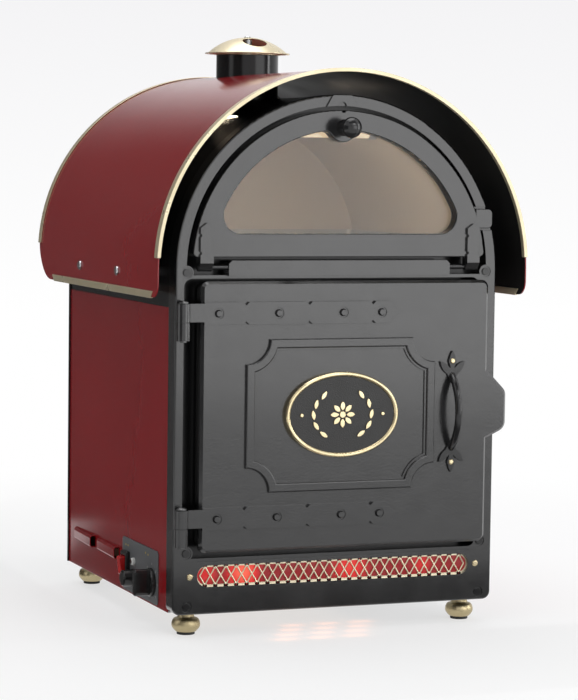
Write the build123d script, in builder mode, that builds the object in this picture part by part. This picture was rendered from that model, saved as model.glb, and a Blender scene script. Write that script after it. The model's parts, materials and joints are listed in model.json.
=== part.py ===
"""Counter-top baked potato oven: a cast front with a baking oven below and a glazed warming display
above, in a sheet body under an overhanging barrel hood with a vent chimney.

Frame: +Z up, the front faces -Y, +X is to the right seen from the front. The origin is on the surface
that the feet stand on, under the middle of the whole oven. Sizes are in millimetres.
"""

from build123d import *
from math import asin, cos, degrees, radians, sin, sqrt
import os

os.makedirs("parts", exist_ok=True)

# ---------------------------------------------------------------- driving dimensions: body and hood
plate_width = 420.0  # cast front, side to side
plate_depth = 24.0  # front of the casting to the back of its rim
plate_edge_radius = 2.5
plate_foot_corner = 10.0
spring_height = 415.0  # lower edge of the casting to where its round top begins
body_depth = 443.0  # face of the casting to the outside of the rear panel
sheet = 1.5  # casing sheet thickness
casing_inset = 1.8  # the casing stands in from the edge of the casting
seam_drop = 47.0  # seam of side panels and barrel top, below the springing of the arch
rear_pan_depth = 4.0
hood_gap = 28.5  # air space between casting and hood
hood_front_overhang = 23.3
hood_rear_overhang = 41.3
hood_edge_drop = 33.0  # lower edge of the hood, below the springing
hood_front_corner = 18.0
hood_rear_corner = 58.0
arch_trim_width = 12.0
side_trim_width = 8.5
trim_wall = 1.2
trim_inner_leg = 6.0
trim_end_rise = 14.0  # the arched trims stop this far above the springing
side_trim_corner_gap = 0.7  # in front of the round of the hood's front corner
side_trim_rear_gap = 9.3  # in front of the round of the hood's rear corner
hood_screw_rows = (134.0, 291.0)  # behind the face of the casting
hood_screw_drop = 8.0  # below the springing
hood_screw_head_radius = 6.0
hood_screw_head_rise = 3.0
hood_screw_head_round = 2.4
hood_nut_radius = 5.0
hood_nut_depth = 3.5
hood_screw_reach = 6.0  # past the inside of the casing
hood_screw_shank_radius = 2.2
hood_spacer_radius = 5.5
fit_gap = 0.3  # between parts that lie against each other on a curve
overshoot = 1.0  # cutters and roots pass this far beyond the face they meet
tolerance = 0.01  # for picking faces by their position

# ---------------------------------------------------------------- driving dimensions: feet and base
foot_height = 28.0
foot_inset = 28.0  # in from the sides of the casting
foot_front = 31.0  # behind the face of the casting
foot_rear_inset = 23.0  # in front of the rear face
foot_bulge_radius = 17.5
foot_neck_radius = 9.8
foot_shoulder_radius = 14.0
foot_pad_radius = 11.0
foot_pad_height = 3.5
foot_pad_bevel = 0.8
foot_stud_radius = 4.0
foot_stud_reach = 6.0  # through the base pan
foot_collar_height = 3.0
foot_bottom_radius = 12.5
foot_bulge_z = 12.0
foot_shoulder_z = 19.5
base_sheet = 2.0
rear_vent_z = 250.0
rear_vent_columns = 3
rear_vent_rows = 5
rear_vent_pitch_x = 80.0
rear_vent_pitch_z = 16.0
rear_vent_length = 62.0
rear_vent_width = 6.0
rear_screw_inset = 11.0
rear_screw_heights = (60.0, 225.0, 385.0)
rear_screw_shank_radius = 1.9
rear_screw_head_radius = 4.0
rear_screw_head_rise = 2.0
rear_screw_head_bevel = 0.8
rear_screw_reach = 4.0  # past the bracket
bracket_leg = 16.0
bracket_wall = 1.5
gland_inset = 60.0
gland_z = 62.0
gland_thread_radius = 10.0
gland_thread_length = 12.0
gland_nut_radius = 14.0
gland_nut_depth = 5.0
gland_dome = 9.0
gland_dome_radius = 11.5
gland_dome_bevel = 3.0
gland_bore_radius = 4.5
base_flange = 14.0
floor_slot_length = 56.0
floor_slot_width = 8.0
floor_slot_columns = 3
floor_slot_rows = 4
floor_slot_pitch_x = 78.0
floor_slot_pitch_y = 24.0
floor_slot_middle = 92.0  # behind the face of the casting

# ---------------------------------------------------------------- driving dimensions: openings and doors
oven_open_left_rim = 11.0  # band of the casting on the hinge side of the oven mouth
oven_open_right_rim = 23.0
oven_open_bottom = 96.0
oven_open_drop = 11.5  # top of the oven mouth, below the springing
oven_open_corner = 10.0
display_open_rim = 14.0  # band of the casting round the display opening
display_open_drop = 7.5
oven_door_left_inset = 30.0
oven_door_right_inset = 13.5
oven_door_lap_bottom = 7.0  # the door stops this far above the lower edge of the mouth
oven_door_lap_top = 3.0
oven_door_corner = 9.0
oven_door_thickness = 9.0
oven_door_gap = 0.5  # between the door casting and the front casting
door_edge_radius = 3.5
grip_tab_reach = 26.5  # past the edge of the door
grip_tab_low = 231.0
grip_tab_low_shoulder = 257.0
grip_tab_high_shoulder = 290.0
grip_tab_high = 318.0
grip_tab_round = 13.0
door_pan_inset = 4.0
door_pan_wall = 1.2
door_pan_depth = 20.0
door_pan_corner = 8.0
seal_edge_gap = 2.0
seal_thickness = 3.9
seal_width = 6.0

hinge_inset = 6.5  # hinge axis in from the side of the casting
hinge_forward = 12.0  # hinge axis in front of the face of the casting
knuckle_radius = 8.0
hinge_pin_radius = 4.0
running_clearance = 0.06
knuckle_gap = 0.4
door_knuckle_height = 22.0
plate_knuckle_height = 21.5
pin_head_radius = 6.0
pin_head_height = 3.0
pin_head_bevel = 1.5
pin_tail = 2.0  # below the lower knuckle
lug_edge_gap = 0.5
lug_arm_reach = 8.0  # of a door knuckle, on to its strap
lug_arm_step = 5.5

strap_insets = (41.5, 38.0)  # middle of the lower and the upper strap, from the edges of the door
knuckle_drop = 10.0  # lower face of a door knuckle below the middle of its strap
strap_half_height = 13.5
strap_thickness = 4.5
strap_edge_gap = 2.0  # root of the strap in from the edge of the door
strap_notches = (53.0, 134.0, 217.0)  # from the root of the strap
strap_notch_depth = 4.0
strap_body_length = 238.0
strap_point_length = 19.0  # from the body of the strap to its point
strap_shoulder_length = 4.5
strap_shoulder_drop = 5.5
strap_tip_hollow = 2.9  # half the width of the point, midway
rivet_places = (18.0, 94.5, 178.0, 228.5)  # from the root of the strap
rivet_radius = 4.6
rivet_rise = 2.6
rivet_ring_radius = 6.6
rivet_ring_depth = 1.0
rivet_taper = 25

frame_half_width = 123.5
frame_half_height = 92.5
frame_lift = 0.75  # middle of the frame above the middle of the door
frame_scoop_radius = 30.0
frame_band = 13.5
frame_rise = 4.5
frame_edge_radius = 1.8
frame_bead_width = 2.5
frame_bead_rise = 2.0

badge_half_width = 73.5
badge_half_height = 52.0
badge_rim_width = 5.0
badge_rim_rise = 8.0
badge_field_rise = 5.5
badge_relief = 1.6
badge_rim_bevel = 1.5
badge_rivet_taper = 20
badge_rivet_x = 53.0
badge_rivet_radius = 2.6
petal_count = 8
petal_ring_radius = 10.5
petal_half_length = 5.6
petal_half_width = 3.0
petal_eye_radius = 4.0
leaf_count = 5
leaf_first_angle = -50.0
leaf_step_angle = 25.0
leaf_spray_width = 38.0
leaf_spray_height = 31.0
leaf_lean = 110.0
leaf_half_length = 6.2
leaf_half_width = 2.6

handle_from_frame = 23.5  # axis of the handle beside the frame
handle_bow_span = 90.0
handle_reach = 28.0
handle_bar_radius = 4.4
handle_foot_thickness = 3.2
handle_petal_length = 25.0
handle_petal_width = 8.5
handle_boss_radius = 6.9
handle_boss_step = 3.0  # of the boss past the end of the bow
handle_side_petal_out = 8.0
handle_side_petal_lean = 42.0
handle_eye_rim = 1.6
handle_screw_shank = 1.8
handle_screw_offset = 62.5
handle_screw_radius = 3.4
small_head_rise = 1.8  # heads of the screws of handle and grille
small_head_bevel = 1.2

# ---------------------------------------------------------------- driving dimensions: display door
display_door_margin = 5.0  # between the door and the rim of the display opening
display_door_rise = 14.0  # lower edge of the display door, above the springing
display_door_proud = 6.0
display_frame_back = 7.0  # back of the glass frame, behind the face of the casting
display_skirt_back = 20.0
display_skirt_wall = 6.0
display_frame_round = 1.2
display_tab_corner = 6.0
display_tab_cut_inset = 8.0
display_corner = 6.0
display_frame_width = 24.0  # band of the display door round its window
window_rise = 42.0  # lower edge of the window, above the springing
window_corner = 22.0
glass_thickness = 4.0
glass_margin = 6.0
retainer_thickness = 1.5
retainer_post_radius = 3.5
retainer_lap = 8.0
retainer_edge_gap = 2.0
retainer_post_inset = 6.0
retainer_corner = 8.0
retainer_post_angles = (20.0, 55.0, 90.0, 125.0, 160.0)
knob_rise = 3.0  # middle of the knob above the top of the window
knob_boss_radius = 17.5
knob_boss_flare = 12.0
knob_length = 35.0
knob_head_radius = 12.7
knob_neck_radius = 7.0
knob_foot_radius = 10.0
knob_foot_height = 2.0
knob_stud_gap = 1.0  # end of the stud short of the back of the frame
display_tab_overhang = 5.0  # past the rim of the display opening
display_tab_rise = 49.0  # lower edge of the grip tab, above the springing
display_tab_height = 24.0
display_tab_sunk = 13.0  # root of the tab inside the rim of the door
display_tab_back = 4.5
display_tab_clearance = 2.5
display_hinge_rise = 2.0  # hinge axis above the springing
display_pin_radius = 3.1
display_knuckle_radius = 5.0
display_strap_inset = 17.0  # middle of a strap in from the widest point of the door
display_strap_width = 16.6
display_strap_rise_top = 55.0  # point of a strap above the springing
display_strap_rise = 4.0
display_strap_point = 6.0  # height of the pointed end
strap_root_lap = 3.0  # the root of a strap runs up the door this far
display_strap_notch = 1.8
display_strap_notches = (19.0, 40.0)  # above the springing
door_notch_radius = 2.5
knob_stud_radius = 3.0
hinge_bar_end_gap = 29.5  # bare pin from the end of the bar to the middle of a strap
hinge_bar_rise = 10.0  # top of the fixed bar above the springing
hinge_bar_proud = 4.8
hinge_bar_back = 14.0
pin_bury = 16.0
pin_end_proud = 1.0  # past the outer side of a strap
hinge_bar_bevel = 4.0

magnet_length = 36.0
magnet_depth = 10.0
magnet_height = 5.0
catch_tab_half_base = 21.0
catch_tab_half_top = 12.5
catch_tab_margin = 1.0  # below the crown of the casting
catch_tab_rise = 2.6
catch_tab_corner = 3.0
catch_tab_lap = 2.0  # the foot of the plate runs into the rim this far

# ---------------------------------------------------------------- driving dimensions: front casting details
plate_bolt_insets = (14.4, 16.6, 17.6)  # upper, middle and lower pair, in from the sides of the casting
upper_bolt_drop = 4.5  # below the springing
middle_bolt_rise = 6.3  # above the lower edge of the oven mouth
lower_bolt_rise = 10.2  # above the lower edge of the casting
plate_bolt_radius = 2.5
bolt_head_radius = 4.6
bolt_ring_radius = 6.8
bolt_ring_depth = 1.2
bolt_boss_wall = 1.7
bolt_bevel = 0.3
bolt_rise = 0.4  # less than oven_door_gap, as the door shuts over one of them
plate_nut_radius = 4.8
plate_nut_depth = 4.0
plate_bolt_end = 1.5  # past the nut
lug_width_inside = 5.0  # from the hinge axis inward
rail_inset = 9.0
rail_pocket_top = 87.5
groove_z = 91.5
groove_height = 1.4
groove_depth = 0.8
catch_notch_radius = 5.0
magnet_gap = 1.5  # above the rim of the display opening
grille_end_margin = 17.0  # frame of the grille beyond the ends of its slot
grille_slot_radius = 13.0
grille_z = 74.0
grille_recess = 4.0
grille_frame_inset = 14.0
grille_frame_radius = 15.5
grille_screw_inset = 7.7  # in from the ends of the frame of the grille
grille_screw_radius = 4.0
grille_screw_shank = 1.7
grille_nut_radius = 3.6
grille_nut_depth = 2.4
grille_screw_reach = 5.0
fret_end_margin = 3.0
spandrel_half_width = 3.4
spandrel_height = 5.5
fret_thickness = 1.6
fret_strip = 1.9
fret_count = 26
fret_oval_height = 21.5
lens_thickness = 2.4
glow_lamp_radius = 6.0
glow_lamp_end_room = 29.0  # from the end of the slot to the end of the lamp
glow_lamp_back = 44.0
lamp_holder_wall = 3.0
lamp_holder_length = 12.0
lamp_holder_round = 4.0
casting_skin = 8.0
casting_rim = 9.0

# ---------------------------------------------------------------- driving dimensions: controls at the left
control_front = 57.5
control_rear = 199.0
control_low = 30.5
control_high = 97.0
control_corner = 6.0
control_rim = 9.0  # the control plate laps the cut in the side panel
control_cut_gap = 1.0  # between the cut and the flange of the base pan
thermostat_y = 80.0
thermostat_z = 56.5
thermostat_knob_radius = 17.5
thermostat_knob_skirt = 5.0
thermostat_knob_length = 23.0
thermostat_grip_width = 10.0
thermostat_grip_inset = 1.0
knob_edge = 1.5
shaft_end_gap = 1.0
thermostat_body_size = 38.0
timer_y = 150.0
timer_z = 51.0
timer_knob_radius = 11.0
timer_knob_length = 16.0
timer_knob_taper = 3
timer_mark_width = 1.6
timer_mark_rise = 0.8
timer_body_size = 28.0
shaft_radius = 3.0
switch_y = 178.0
switch_z = 63.0
switch_width = 22.0
switch_height = 36.0
switch_rise = 6.0
switch_depth = 24.0
switch_corner = 2.0
switch_edge = 1.2
switch_rim = 2.0  # the bezel laps the cut in the control plate
well_floor = 3.0
rocker_width = 14.0
rocker_height = 24.0
rocker_rise = 5.0
rocker_sink = 4.0  # pivot behind the face of the bezel
rocker_root = 4.0
rocker_edge = 2.5
rocker_clearance = 0.9
rocker_tilt = 7.0
indicator_y = 149.0
indicator_z = 71.5
indicator_radius = 4.7
indicator_rise = 5.0
indicator_edge = 2.6
indicator_body_radius = 3.4
indicator_depth = 18.0
control_thickness = 1.5
control_body_gap = 2.7  # behind the inside of the casing
bush_radius = 5.0
control_body_corner = 3.0
shaft_depth = 12.0
knob_gap = 0.4
thermostat_body_depth = 34.0
timer_body_depth = 26.0
louvre_gap = 18.0  # between the control plate, the first scoop and the second
louvre_rear_margin = 38.0
louvre_height = 16.0
louvre_rise = 7.5
louvre_rear_rise = 4.5
louvre_rear_slope = 3.0
louvre_ridge_radius = 4.0
louvre_z = 72.0
louvre_wall = 1.2

# ---------------------------------------------------------------- driving dimensions: inside
liner_wall = 1.5
liner_inset = 44.0
liner_flange_inset = 6.0
liner_flange_drop = 8.5  # below the springing
liner_flange_lap = 6.0  # below the lower edge of the oven mouth
liner_floor_rise = 22.0  # above the lower edge of the oven mouth
liner_roof_drop = 21.5  # below the top of the oven mouth
liner_rear_space = 41.0  # back of the liner to the rear face
rack_corner = 12.0
rack_side_gap = 1.5
runner_front = 34.0
runner_rear_gap = 6.5
runner_wall = 1.2
element_side_gap = 46.0  # axis of an element in from the side of the liner
element_clearance = 18.0  # axis of an element from floor and roof of the liner
element_front = 60.0
element_tail_gap = 15.0  # end of the element in front of the rear face
insulation_thickness = 20.0
insulation_gap = 0.5
element_hole_gap = 1.0
rack_rises = (87.0, 182.0)  # above the floor of the liner
rack_wire_radius = 1.6
rack_rim_radius = 2.6
rack_end_room = 10.0  # the rack is this much shorter than its runners
rack_wire_count = 9
runner_height = 10.0
element_radius = 3.6
element_bend = 26.0
deck_rise = 20.0  # floor of the display, above the springing
lining_step = 10.0  # the lining is this much smaller than the display opening
lining_rear_space = 45.0  # back of the lining to the rear face
lining_flange_gap = 0.5
lining_flange_drop = 8.0  # below the springing
tray_height = 14.0
tray_wall = 1.0
tray_corner = 10.0
tray_front = 34.0
tray_side_gap = 6.0
holder_depth = 8.0
display_lamp_drop = 22.0  # below the crown of the lining
display_lamp_back = 50.0
display_lamp_radius = 6.0
display_holder_wall = 1.5
display_lamp_length = 110.0

# ---------------------------------------------------------------- driving dimensions: chimney
chimney_from_rear = 112.0  # axis in front of the rear face
chimney_radius = 41.0
chimney_wall = 1.2
chimney_rise = 26.6  # above the crown of the hood
chimney_dip = 11.0  # below the crown of the lining
cap_radius = 52.5
cap_brim = 3.5
cap_height = 22.0
cap_wall = 1.2
vent_radius = 16.0
vent_offset = 27.0
vent_turn = 20.0  # the shutter's hole lies this many degrees round from the cap's
shutter_gap = 0.4
shutter_thickness = 1.0
shutter_lap = 3.0
shutter_hole_radius = 14.5
shutter_tab_turn = -40.0
shutter_tab_reach = 58.0
shutter_tab_width = 8.0
shutter_tab_length = 26.0
spider_height = 6.0
spider_width = 10.0
cap_pin_radius = 3.0
cap_rivet_step = 1.5
cap_rivet_rise = 1.6
cap_rivet_edge = 1.2
cap_sleeve_gap = 2.0
spider_fit = 0.6
cap_sleeve_radius = 6.0

# ---------------------------------------------------------------- values worked out from them
half_width = plate_width / 2
arch_z = foot_height + spring_height
knob_reach = display_door_proud + knob_length
face_y = (knob_reach - body_depth - hood_rear_overhang - trim_wall) / 2
casing_half = half_width - casing_inset
casing_inside = casing_half - sheet
casing_back = body_depth - sheet
seam_z = arch_z - seam_drop
rear_screw_x = half_width - rear_screw_inset
gland_x = half_width - gland_inset
foot_x = half_width - foot_inset
foot_rear = body_depth - foot_rear_inset

hood_inner = half_width + hood_gap
hood_outer = hood_inner + sheet
hood_edge_z = arch_z - hood_edge_drop
hood_screw_z = arch_z - hood_screw_drop
hood_back = body_depth + hood_rear_overhang
side_trim_front = hood_front_corner - hood_front_overhang - side_trim_corner_gap
side_trim_rear = hood_back - hood_rear_corner - side_trim_rear_gap

oven_open_left = oven_open_left_rim - half_width
oven_open_right = half_width - oven_open_right_rim
oven_open_top = arch_z - oven_open_drop
oven_door_left = oven_door_left_inset - half_width
oven_door_right = half_width - oven_door_right_inset
oven_door_bottom = oven_open_bottom + oven_door_lap_bottom
oven_door_top = oven_open_top - oven_door_lap_top
oven_door_front = oven_door_gap + oven_door_thickness
hinge_x = hinge_inset - half_width
lug_inner_x = hinge_x + lug_width_inside
strap_heights = (oven_door_bottom + strap_insets[0], oven_door_top - strap_insets[1])
strap_front = oven_door_front + strap_thickness
frame_middle_z = (oven_door_bottom + oven_door_top) / 2 + frame_lift
handle_x = frame_half_width + handle_from_frame

display_open_radius = half_width - display_open_rim
display_open_bottom = arch_z - display_open_drop
display_door_radius = display_open_radius - display_door_margin
display_door_bottom = arch_z + display_door_rise
window_radius = display_door_radius - display_frame_width
window_bottom = arch_z + window_rise
knob_z = arch_z + window_radius + knob_rise
display_tab_reach = display_open_radius + display_tab_overhang
display_tab_root = display_door_radius - display_tab_sunk
display_tab_low = arch_z + display_tab_rise
display_tab_high = display_tab_low + display_tab_height
display_hinge_z = arch_z + display_hinge_rise
display_strap_x = display_door_radius - display_strap_inset
display_strap_top = arch_z + display_strap_rise_top
hinge_bar_half_length = display_strap_x - hinge_bar_end_gap
hinge_bar_top = arch_z + hinge_bar_rise
catch_tab_top = arch_z + half_width - catch_tab_margin
magnet_low = arch_z + display_open_radius + magnet_gap

plate_bolt_heights = (
    arch_z - upper_bolt_drop, oven_open_bottom + middle_bolt_rise, foot_height + lower_bolt_rise
)
plate_bolts_at = [(half_width - inset, z) for inset, z in zip(plate_bolt_insets, plate_bolt_heights)]
rail_half = half_width - rail_inset
grille_frame_half_length = half_width - grille_frame_inset
grille_half_length = grille_frame_half_length - grille_end_margin
grille_screw_x = grille_frame_half_length - grille_screw_inset
glow_lamp_length = 2 * (grille_half_length - glow_lamp_end_room)
control_body_x = control_body_gap - casing_inside
louvre_length = (body_depth - control_rear - 2 * louvre_gap - louvre_rear_margin) / 2
louvre_starts = (control_rear + 2 * louvre_gap + louvre_length, control_rear + louvre_gap)

liner_half_width = half_width - liner_inset
liner_flange_half_width = half_width - liner_flange_inset
liner_flange_top = arch_z - liner_flange_drop
liner_flange_bottom = oven_open_bottom - liner_flange_lap
liner_floor = oven_open_bottom + liner_floor_rise
liner_roof = oven_open_top - liner_roof_drop
liner_back = body_depth - liner_rear_space
runner_length = liner_back - liner_wall - runner_front - runner_rear_gap
rack_depth = runner_length - rack_end_room
rack_levels = (liner_floor + rack_rises[0], liner_floor + rack_rises[1])
element_half_width = liner_half_width - element_side_gap
element_levels = (liner_floor + element_clearance, liner_roof - element_clearance)
element_tail = body_depth - element_tail_gap
element_ends = [(side * element_half_width, height) for side in (-1, 1) for height in element_levels]
deck_z = arch_z + deck_rise
lining_radius = display_open_radius - lining_step
lining_back = body_depth - lining_rear_space
lining_flange_bottom = arch_z - lining_flange_drop
display_lamp_z = arch_z + lining_radius - display_lamp_drop

chimney_back = body_depth - chimney_from_rear
chimney_top = arch_z + hood_outer + chimney_rise
chimney_foot = arch_z + lining_radius - chimney_dip


def facing_front(behind):
    """Plane parallel to the front, so far behind the face of the casting: local x is X, local y is Z."""
    return Plane(origin=(0, face_y + behind, 0), x_dir=(1, 0, 0), z_dir=(0, -1, 0))


def level(z):
    """Horizontal plane at a height: local x is X, local y runs back from the face of the casting."""
    return Plane(origin=(0, face_y, z), x_dir=(1, 0, 0), z_dir=(0, 0, 1))


def side_view(x):
    """Plane square to X: local x runs back from the face of the casting, local y is Z."""
    return Plane(origin=(x, face_y, 0), x_dir=(0, 1, 0), z_dir=(1, 0, 0))


def arch_outline(radius, lower_edge, mode=Mode.ADD):
    """Round-topped outline on straight sides, or a segment if its lower edge is above the springing."""
    with BuildSketch(mode=Mode.PRIVATE) as outline:
        with Locations((0, arch_z)):
            Circle(radius)
        if lower_edge < arch_z:
            with Locations((0, lower_edge)):
                Rectangle(2 * radius, arch_z - lower_edge, align=(Align.CENTER, Align.MIN))
        with Locations((0, lower_edge)):
            Rectangle(3 * radius, 2 * radius, align=(Align.CENTER, Align.MAX), mode=Mode.SUBTRACT)
    add(outline.sketch, mode=mode)


def box_outline(left, right, low, high, mode=Mode.ADD):
    """Rectangle given by its four sides."""
    with Locations(((left + right) / 2, (low + high) / 2)):
        Rectangle(right - left, high - low, mode=mode)


def save(piece, name):
    """Names the finished piece and writes it."""
    piece.part.label = name
    export_step(piece.part, f"parts/{name}.step")


# ================================================================ casing
# Base pan: a shallow tray that the feet, the casting and the rear panel are bolted to, with air slots.
pan_front = plate_depth
pan_length = casing_back - pan_front
pan_middle = pan_front + pan_length / 2
with BuildPart() as base_pan:
    with BuildSketch(level(foot_height)):
        with Locations((0, pan_middle)):
            Rectangle(2 * casing_inside, pan_length)
    extrude(amount=base_flange)
    with BuildSketch(level(foot_height + base_sheet)):
        with Locations((0, pan_middle)):
            Rectangle(2 * (casing_inside - base_sheet), pan_length - 2 * base_sheet)
    extrude(amount=base_flange, mode=Mode.SUBTRACT)
    with BuildSketch(level(foot_height)):
        for row in range(floor_slot_rows):
            with Locations((0, floor_slot_middle + row * floor_slot_pitch_y)):
                with GridLocations(floor_slot_pitch_x, 1, floor_slot_columns, 1):
                    SlotOverall(floor_slot_length, floor_slot_width)
        for foot_row in (foot_front, foot_rear):
            with Locations((-foot_x, foot_row), (foot_x, foot_row)):
                Circle(foot_stud_radius)
    extrude(amount=base_sheet, mode=Mode.SUBTRACT)
    with BuildSketch(facing_front(pan_front + base_sheet)):
        with Locations((-plate_bolts_at[2][0], plate_bolts_at[2][1]), plate_bolts_at[2]):
            Circle(plate_bolt_radius)
    extrude(amount=base_sheet, mode=Mode.SUBTRACT)
save(base_pan, "base_pan")

# Feet: turned bodies with a short neck over a round bulge, on rubber pads.
with BuildPart() as feet:
    with BuildSketch(Plane.XZ):
        with BuildLine():
            Polyline((0, foot_height), (0, foot_pad_height), (foot_bottom_radius, foot_pad_height))
            Spline(
                (foot_bottom_radius, foot_pad_height),
                (foot_bulge_radius, foot_bulge_z),
                (foot_shoulder_radius, foot_shoulder_z),
                (foot_neck_radius, foot_height - foot_collar_height),
                tangents=((1, 1), (0, 1)),
            )
            Polyline(
                (foot_neck_radius, foot_height - foot_collar_height),
                (foot_neck_radius, foot_height),
                (0, foot_height),
            )
        make_face()
    revolve(axis=Axis.Z)
    with BuildSketch(Plane.XY.offset(foot_height)):
        Circle(foot_stud_radius)
    extrude(amount=base_sheet + foot_stud_reach)
foot_body = feet.part
with BuildPart() as feet:
    with Locations(level(0)):
        for foot_row in (foot_front, foot_rear):
            with Locations((-foot_x, foot_row), (foot_x, foot_row)):
                add(foot_body)
save(feet, "feet")

with BuildPart() as foot_pads:
    with BuildSketch(level(0)):
        for foot_row in (foot_front, foot_rear):
            with Locations((-foot_x, foot_row), (foot_x, foot_row)):
                Circle(foot_pad_radius)
    extrude(amount=foot_pad_height)
    chamfer(foot_pads.faces().sort_by(Axis.Z)[0].edges(), foot_pad_bevel)
save(foot_pads, "foot_pads")

# One pressed scoop, open at the front and towards the casing, with its back at x = 0.
with BuildPart() as scoop:
    with BuildSketch(Plane.XY.offset(louvre_z - louvre_height / 2)):
        with BuildLine():
            Polyline(
                (0, 0),
                (-louvre_rise, 0),
                (-louvre_rear_rise, louvre_length - louvre_rear_slope),
                (0, louvre_length),
                close=True,
            )
        make_face()
    extrude(amount=louvre_height)
    sloped = scoop.edges().filter_by_position(Axis.X, -louvre_rise, -0.5, (True, True))
    ridges = sloped.filter_by(GeomType.LINE).filter_by(lambda edge: abs(edge.tangent_at(0).Y) > 0.8)
    fillet(ridges, louvre_ridge_radius)
    mouth = scoop.faces().sort_by(Axis.Y)[0]
    back = scoop.faces().sort_by(Axis.X)[-1]
    offset(amount=-louvre_wall, openings=[mouth, back])
scoop_left = scoop.part
scoop_right = mirror(scoop_left, about=Plane.YZ)

panel_front = plate_depth
panel_rear = casing_back - fit_gap
cut_front = control_front + control_rim
cut_rear = control_rear - control_rim
cut_low = foot_height + base_flange + control_cut_gap
cut_high = control_high - control_rim


def side_panel(outside, inside, cut_out):
    """One flat side sheet with two scoops; outside and inside are the X of its faces."""
    with BuildPart() as panel:
        with BuildSketch(side_view(min(outside, inside))):
            box_outline(panel_front, panel_rear, foot_height, seam_z)
            for mouth_at in louvre_starts:
                box_outline(
                    mouth_at + louvre_wall,
                    mouth_at + 0.8 * louvre_length,
                    louvre_z - louvre_height / 2 + louvre_wall,
                    louvre_z + louvre_height / 2 - louvre_wall,
                    Mode.SUBTRACT,
                )
            if cut_out:
                box_outline(cut_front, cut_rear, cut_low, cut_high, Mode.SUBTRACT)
        extrude(amount=sheet)
        for mouth_at in louvre_starts:
            with Locations((outside, face_y + mouth_at, 0)):
                add(scoop_left if outside < 0 else scoop_right)
    return panel


left_side_panel = side_panel(-casing_half, -casing_inside, True)
save(left_side_panel, "left_side_panel")
right_side_panel = side_panel(casing_half, casing_inside, False)
save(right_side_panel, "right_side_panel")

# Barrel top: the round upper half of the casing, from one side panel over to the other.
with BuildPart() as barrel_top:
    with BuildSketch(facing_front(panel_rear)):
        arch_outline(casing_half, seam_z)
        arch_outline(casing_inside, seam_z, Mode.SUBTRACT)
    extrude(amount=panel_rear - panel_front)
    with BuildSketch(level(arch_z)):
        with Locations((0, chimney_back)):
            Circle(chimney_radius + fit_gap)
    extrude(amount=half_width, mode=Mode.SUBTRACT)
    with BuildSketch(side_view(-half_width)):
        with Locations([(row, hood_screw_z) for row in hood_screw_rows]):
            Circle(hood_screw_shank_radius + fit_gap)
    extrude(amount=plate_width, mode=Mode.SUBTRACT)
save(barrel_top, "barrel_top")

# Rear panel: a pan whose edge wraps round the casing, with vent slots and the cable entry.
with BuildPart() as rear_panel:
    with BuildSketch(facing_front(body_depth)):
        arch_outline(half_width, foot_height)
    extrude(amount=rear_pan_depth)
    with BuildSketch(facing_front(casing_back)):
        arch_outline(half_width - sheet, foot_height)
    extrude(amount=rear_pan_depth, mode=Mode.SUBTRACT)
    with BuildSketch(facing_front(body_depth)):
        with Locations((0, rear_vent_z)):
            with GridLocations(rear_vent_pitch_x, rear_vent_pitch_z, rear_vent_columns, rear_vent_rows):
                SlotOverall(rear_vent_length, rear_vent_width)
        with Locations((gland_x, gland_z)):
            Circle(gland_thread_radius + fit_gap)
        with Locations([(x, z) for x in (-rear_screw_x, rear_screw_x) for z in rear_screw_heights]):
            Circle(rear_screw_shank_radius + fit_gap)
    extrude(amount=sheet, mode=Mode.SUBTRACT)
save(rear_panel, "rear_panel")

# Rear brackets: angles inside the casing that the rear panel screws into.
with BuildPart() as rear_brackets:
    for side in (-1, 1):
        with BuildSketch(facing_front(casing_back)):
            with Locations([(side * (casing_inside - bracket_leg / 2), z) for z in rear_screw_heights]):
                Rectangle(bracket_leg, bracket_leg)
        extrude(amount=bracket_wall)
        with BuildSketch(facing_front(casing_back - bracket_wall)):
            with Locations([(side * (casing_inside - bracket_wall / 2), z) for z in rear_screw_heights]):
                Rectangle(bracket_wall, bracket_leg)
        extrude(amount=bracket_leg - bracket_wall)
    with BuildSketch(facing_front(casing_back)):
        with Locations([(x, z) for x in (-rear_screw_x, rear_screw_x) for z in rear_screw_heights]):
            Circle(rear_screw_shank_radius)
    extrude(amount=bracket_wall, mode=Mode.SUBTRACT)
save(rear_brackets, "rear_brackets")

with BuildPart() as rear_screws:
    with BuildSketch(facing_front(body_depth)):
        with Locations([(x, z) for x in (-rear_screw_x, rear_screw_x) for z in rear_screw_heights]):
            Circle(rear_screw_head_radius)
    extrude(amount=-rear_screw_head_rise)
    chamfer(rear_screws.faces().group_by(Axis.Y)[-1].edges(), rear_screw_head_bevel)
    with BuildSketch(facing_front(body_depth)):
        with Locations([(x, z) for x in (-rear_screw_x, rear_screw_x) for z in rear_screw_heights]):
            Circle(rear_screw_shank_radius)
    extrude(amount=sheet + bracket_wall + rear_screw_reach)
save(rear_screws, "rear_screws")

# Cable gland in the rear panel, with a bore for the supply cable.
with BuildPart() as cable_gland:
    with BuildSketch(facing_front(body_depth)):
        with Locations((gland_x, gland_z)):
            RegularPolygon(gland_nut_radius, 6)
    extrude(amount=-gland_nut_depth)
    with BuildSketch(facing_front(body_depth + gland_nut_depth)):
        with Locations((gland_x, gland_z)):
            Circle(gland_dome_radius)
    extrude(amount=-gland_dome)
    chamfer(cable_gland.faces().sort_by(Axis.Y)[-1].edges(), gland_dome_bevel)
    with BuildSketch(facing_front(body_depth)):
        with Locations((gland_x, gland_z)):
            Circle(gland_thread_radius)
    extrude(amount=gland_thread_length)
    with BuildSketch(facing_front(casing_back)):
        with Locations((gland_x, gland_z)):
            RegularPolygon(gland_nut_radius, 6)
    extrude(amount=gland_nut_depth)
    with BuildSketch(facing_front(body_depth + gland_nut_depth + gland_dome)):
        with Locations((gland_x, gland_z)):
            Circle(gland_bore_radius)
    extrude(amount=gland_nut_depth + gland_dome + gland_thread_length, mode=Mode.SUBTRACT)
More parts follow.
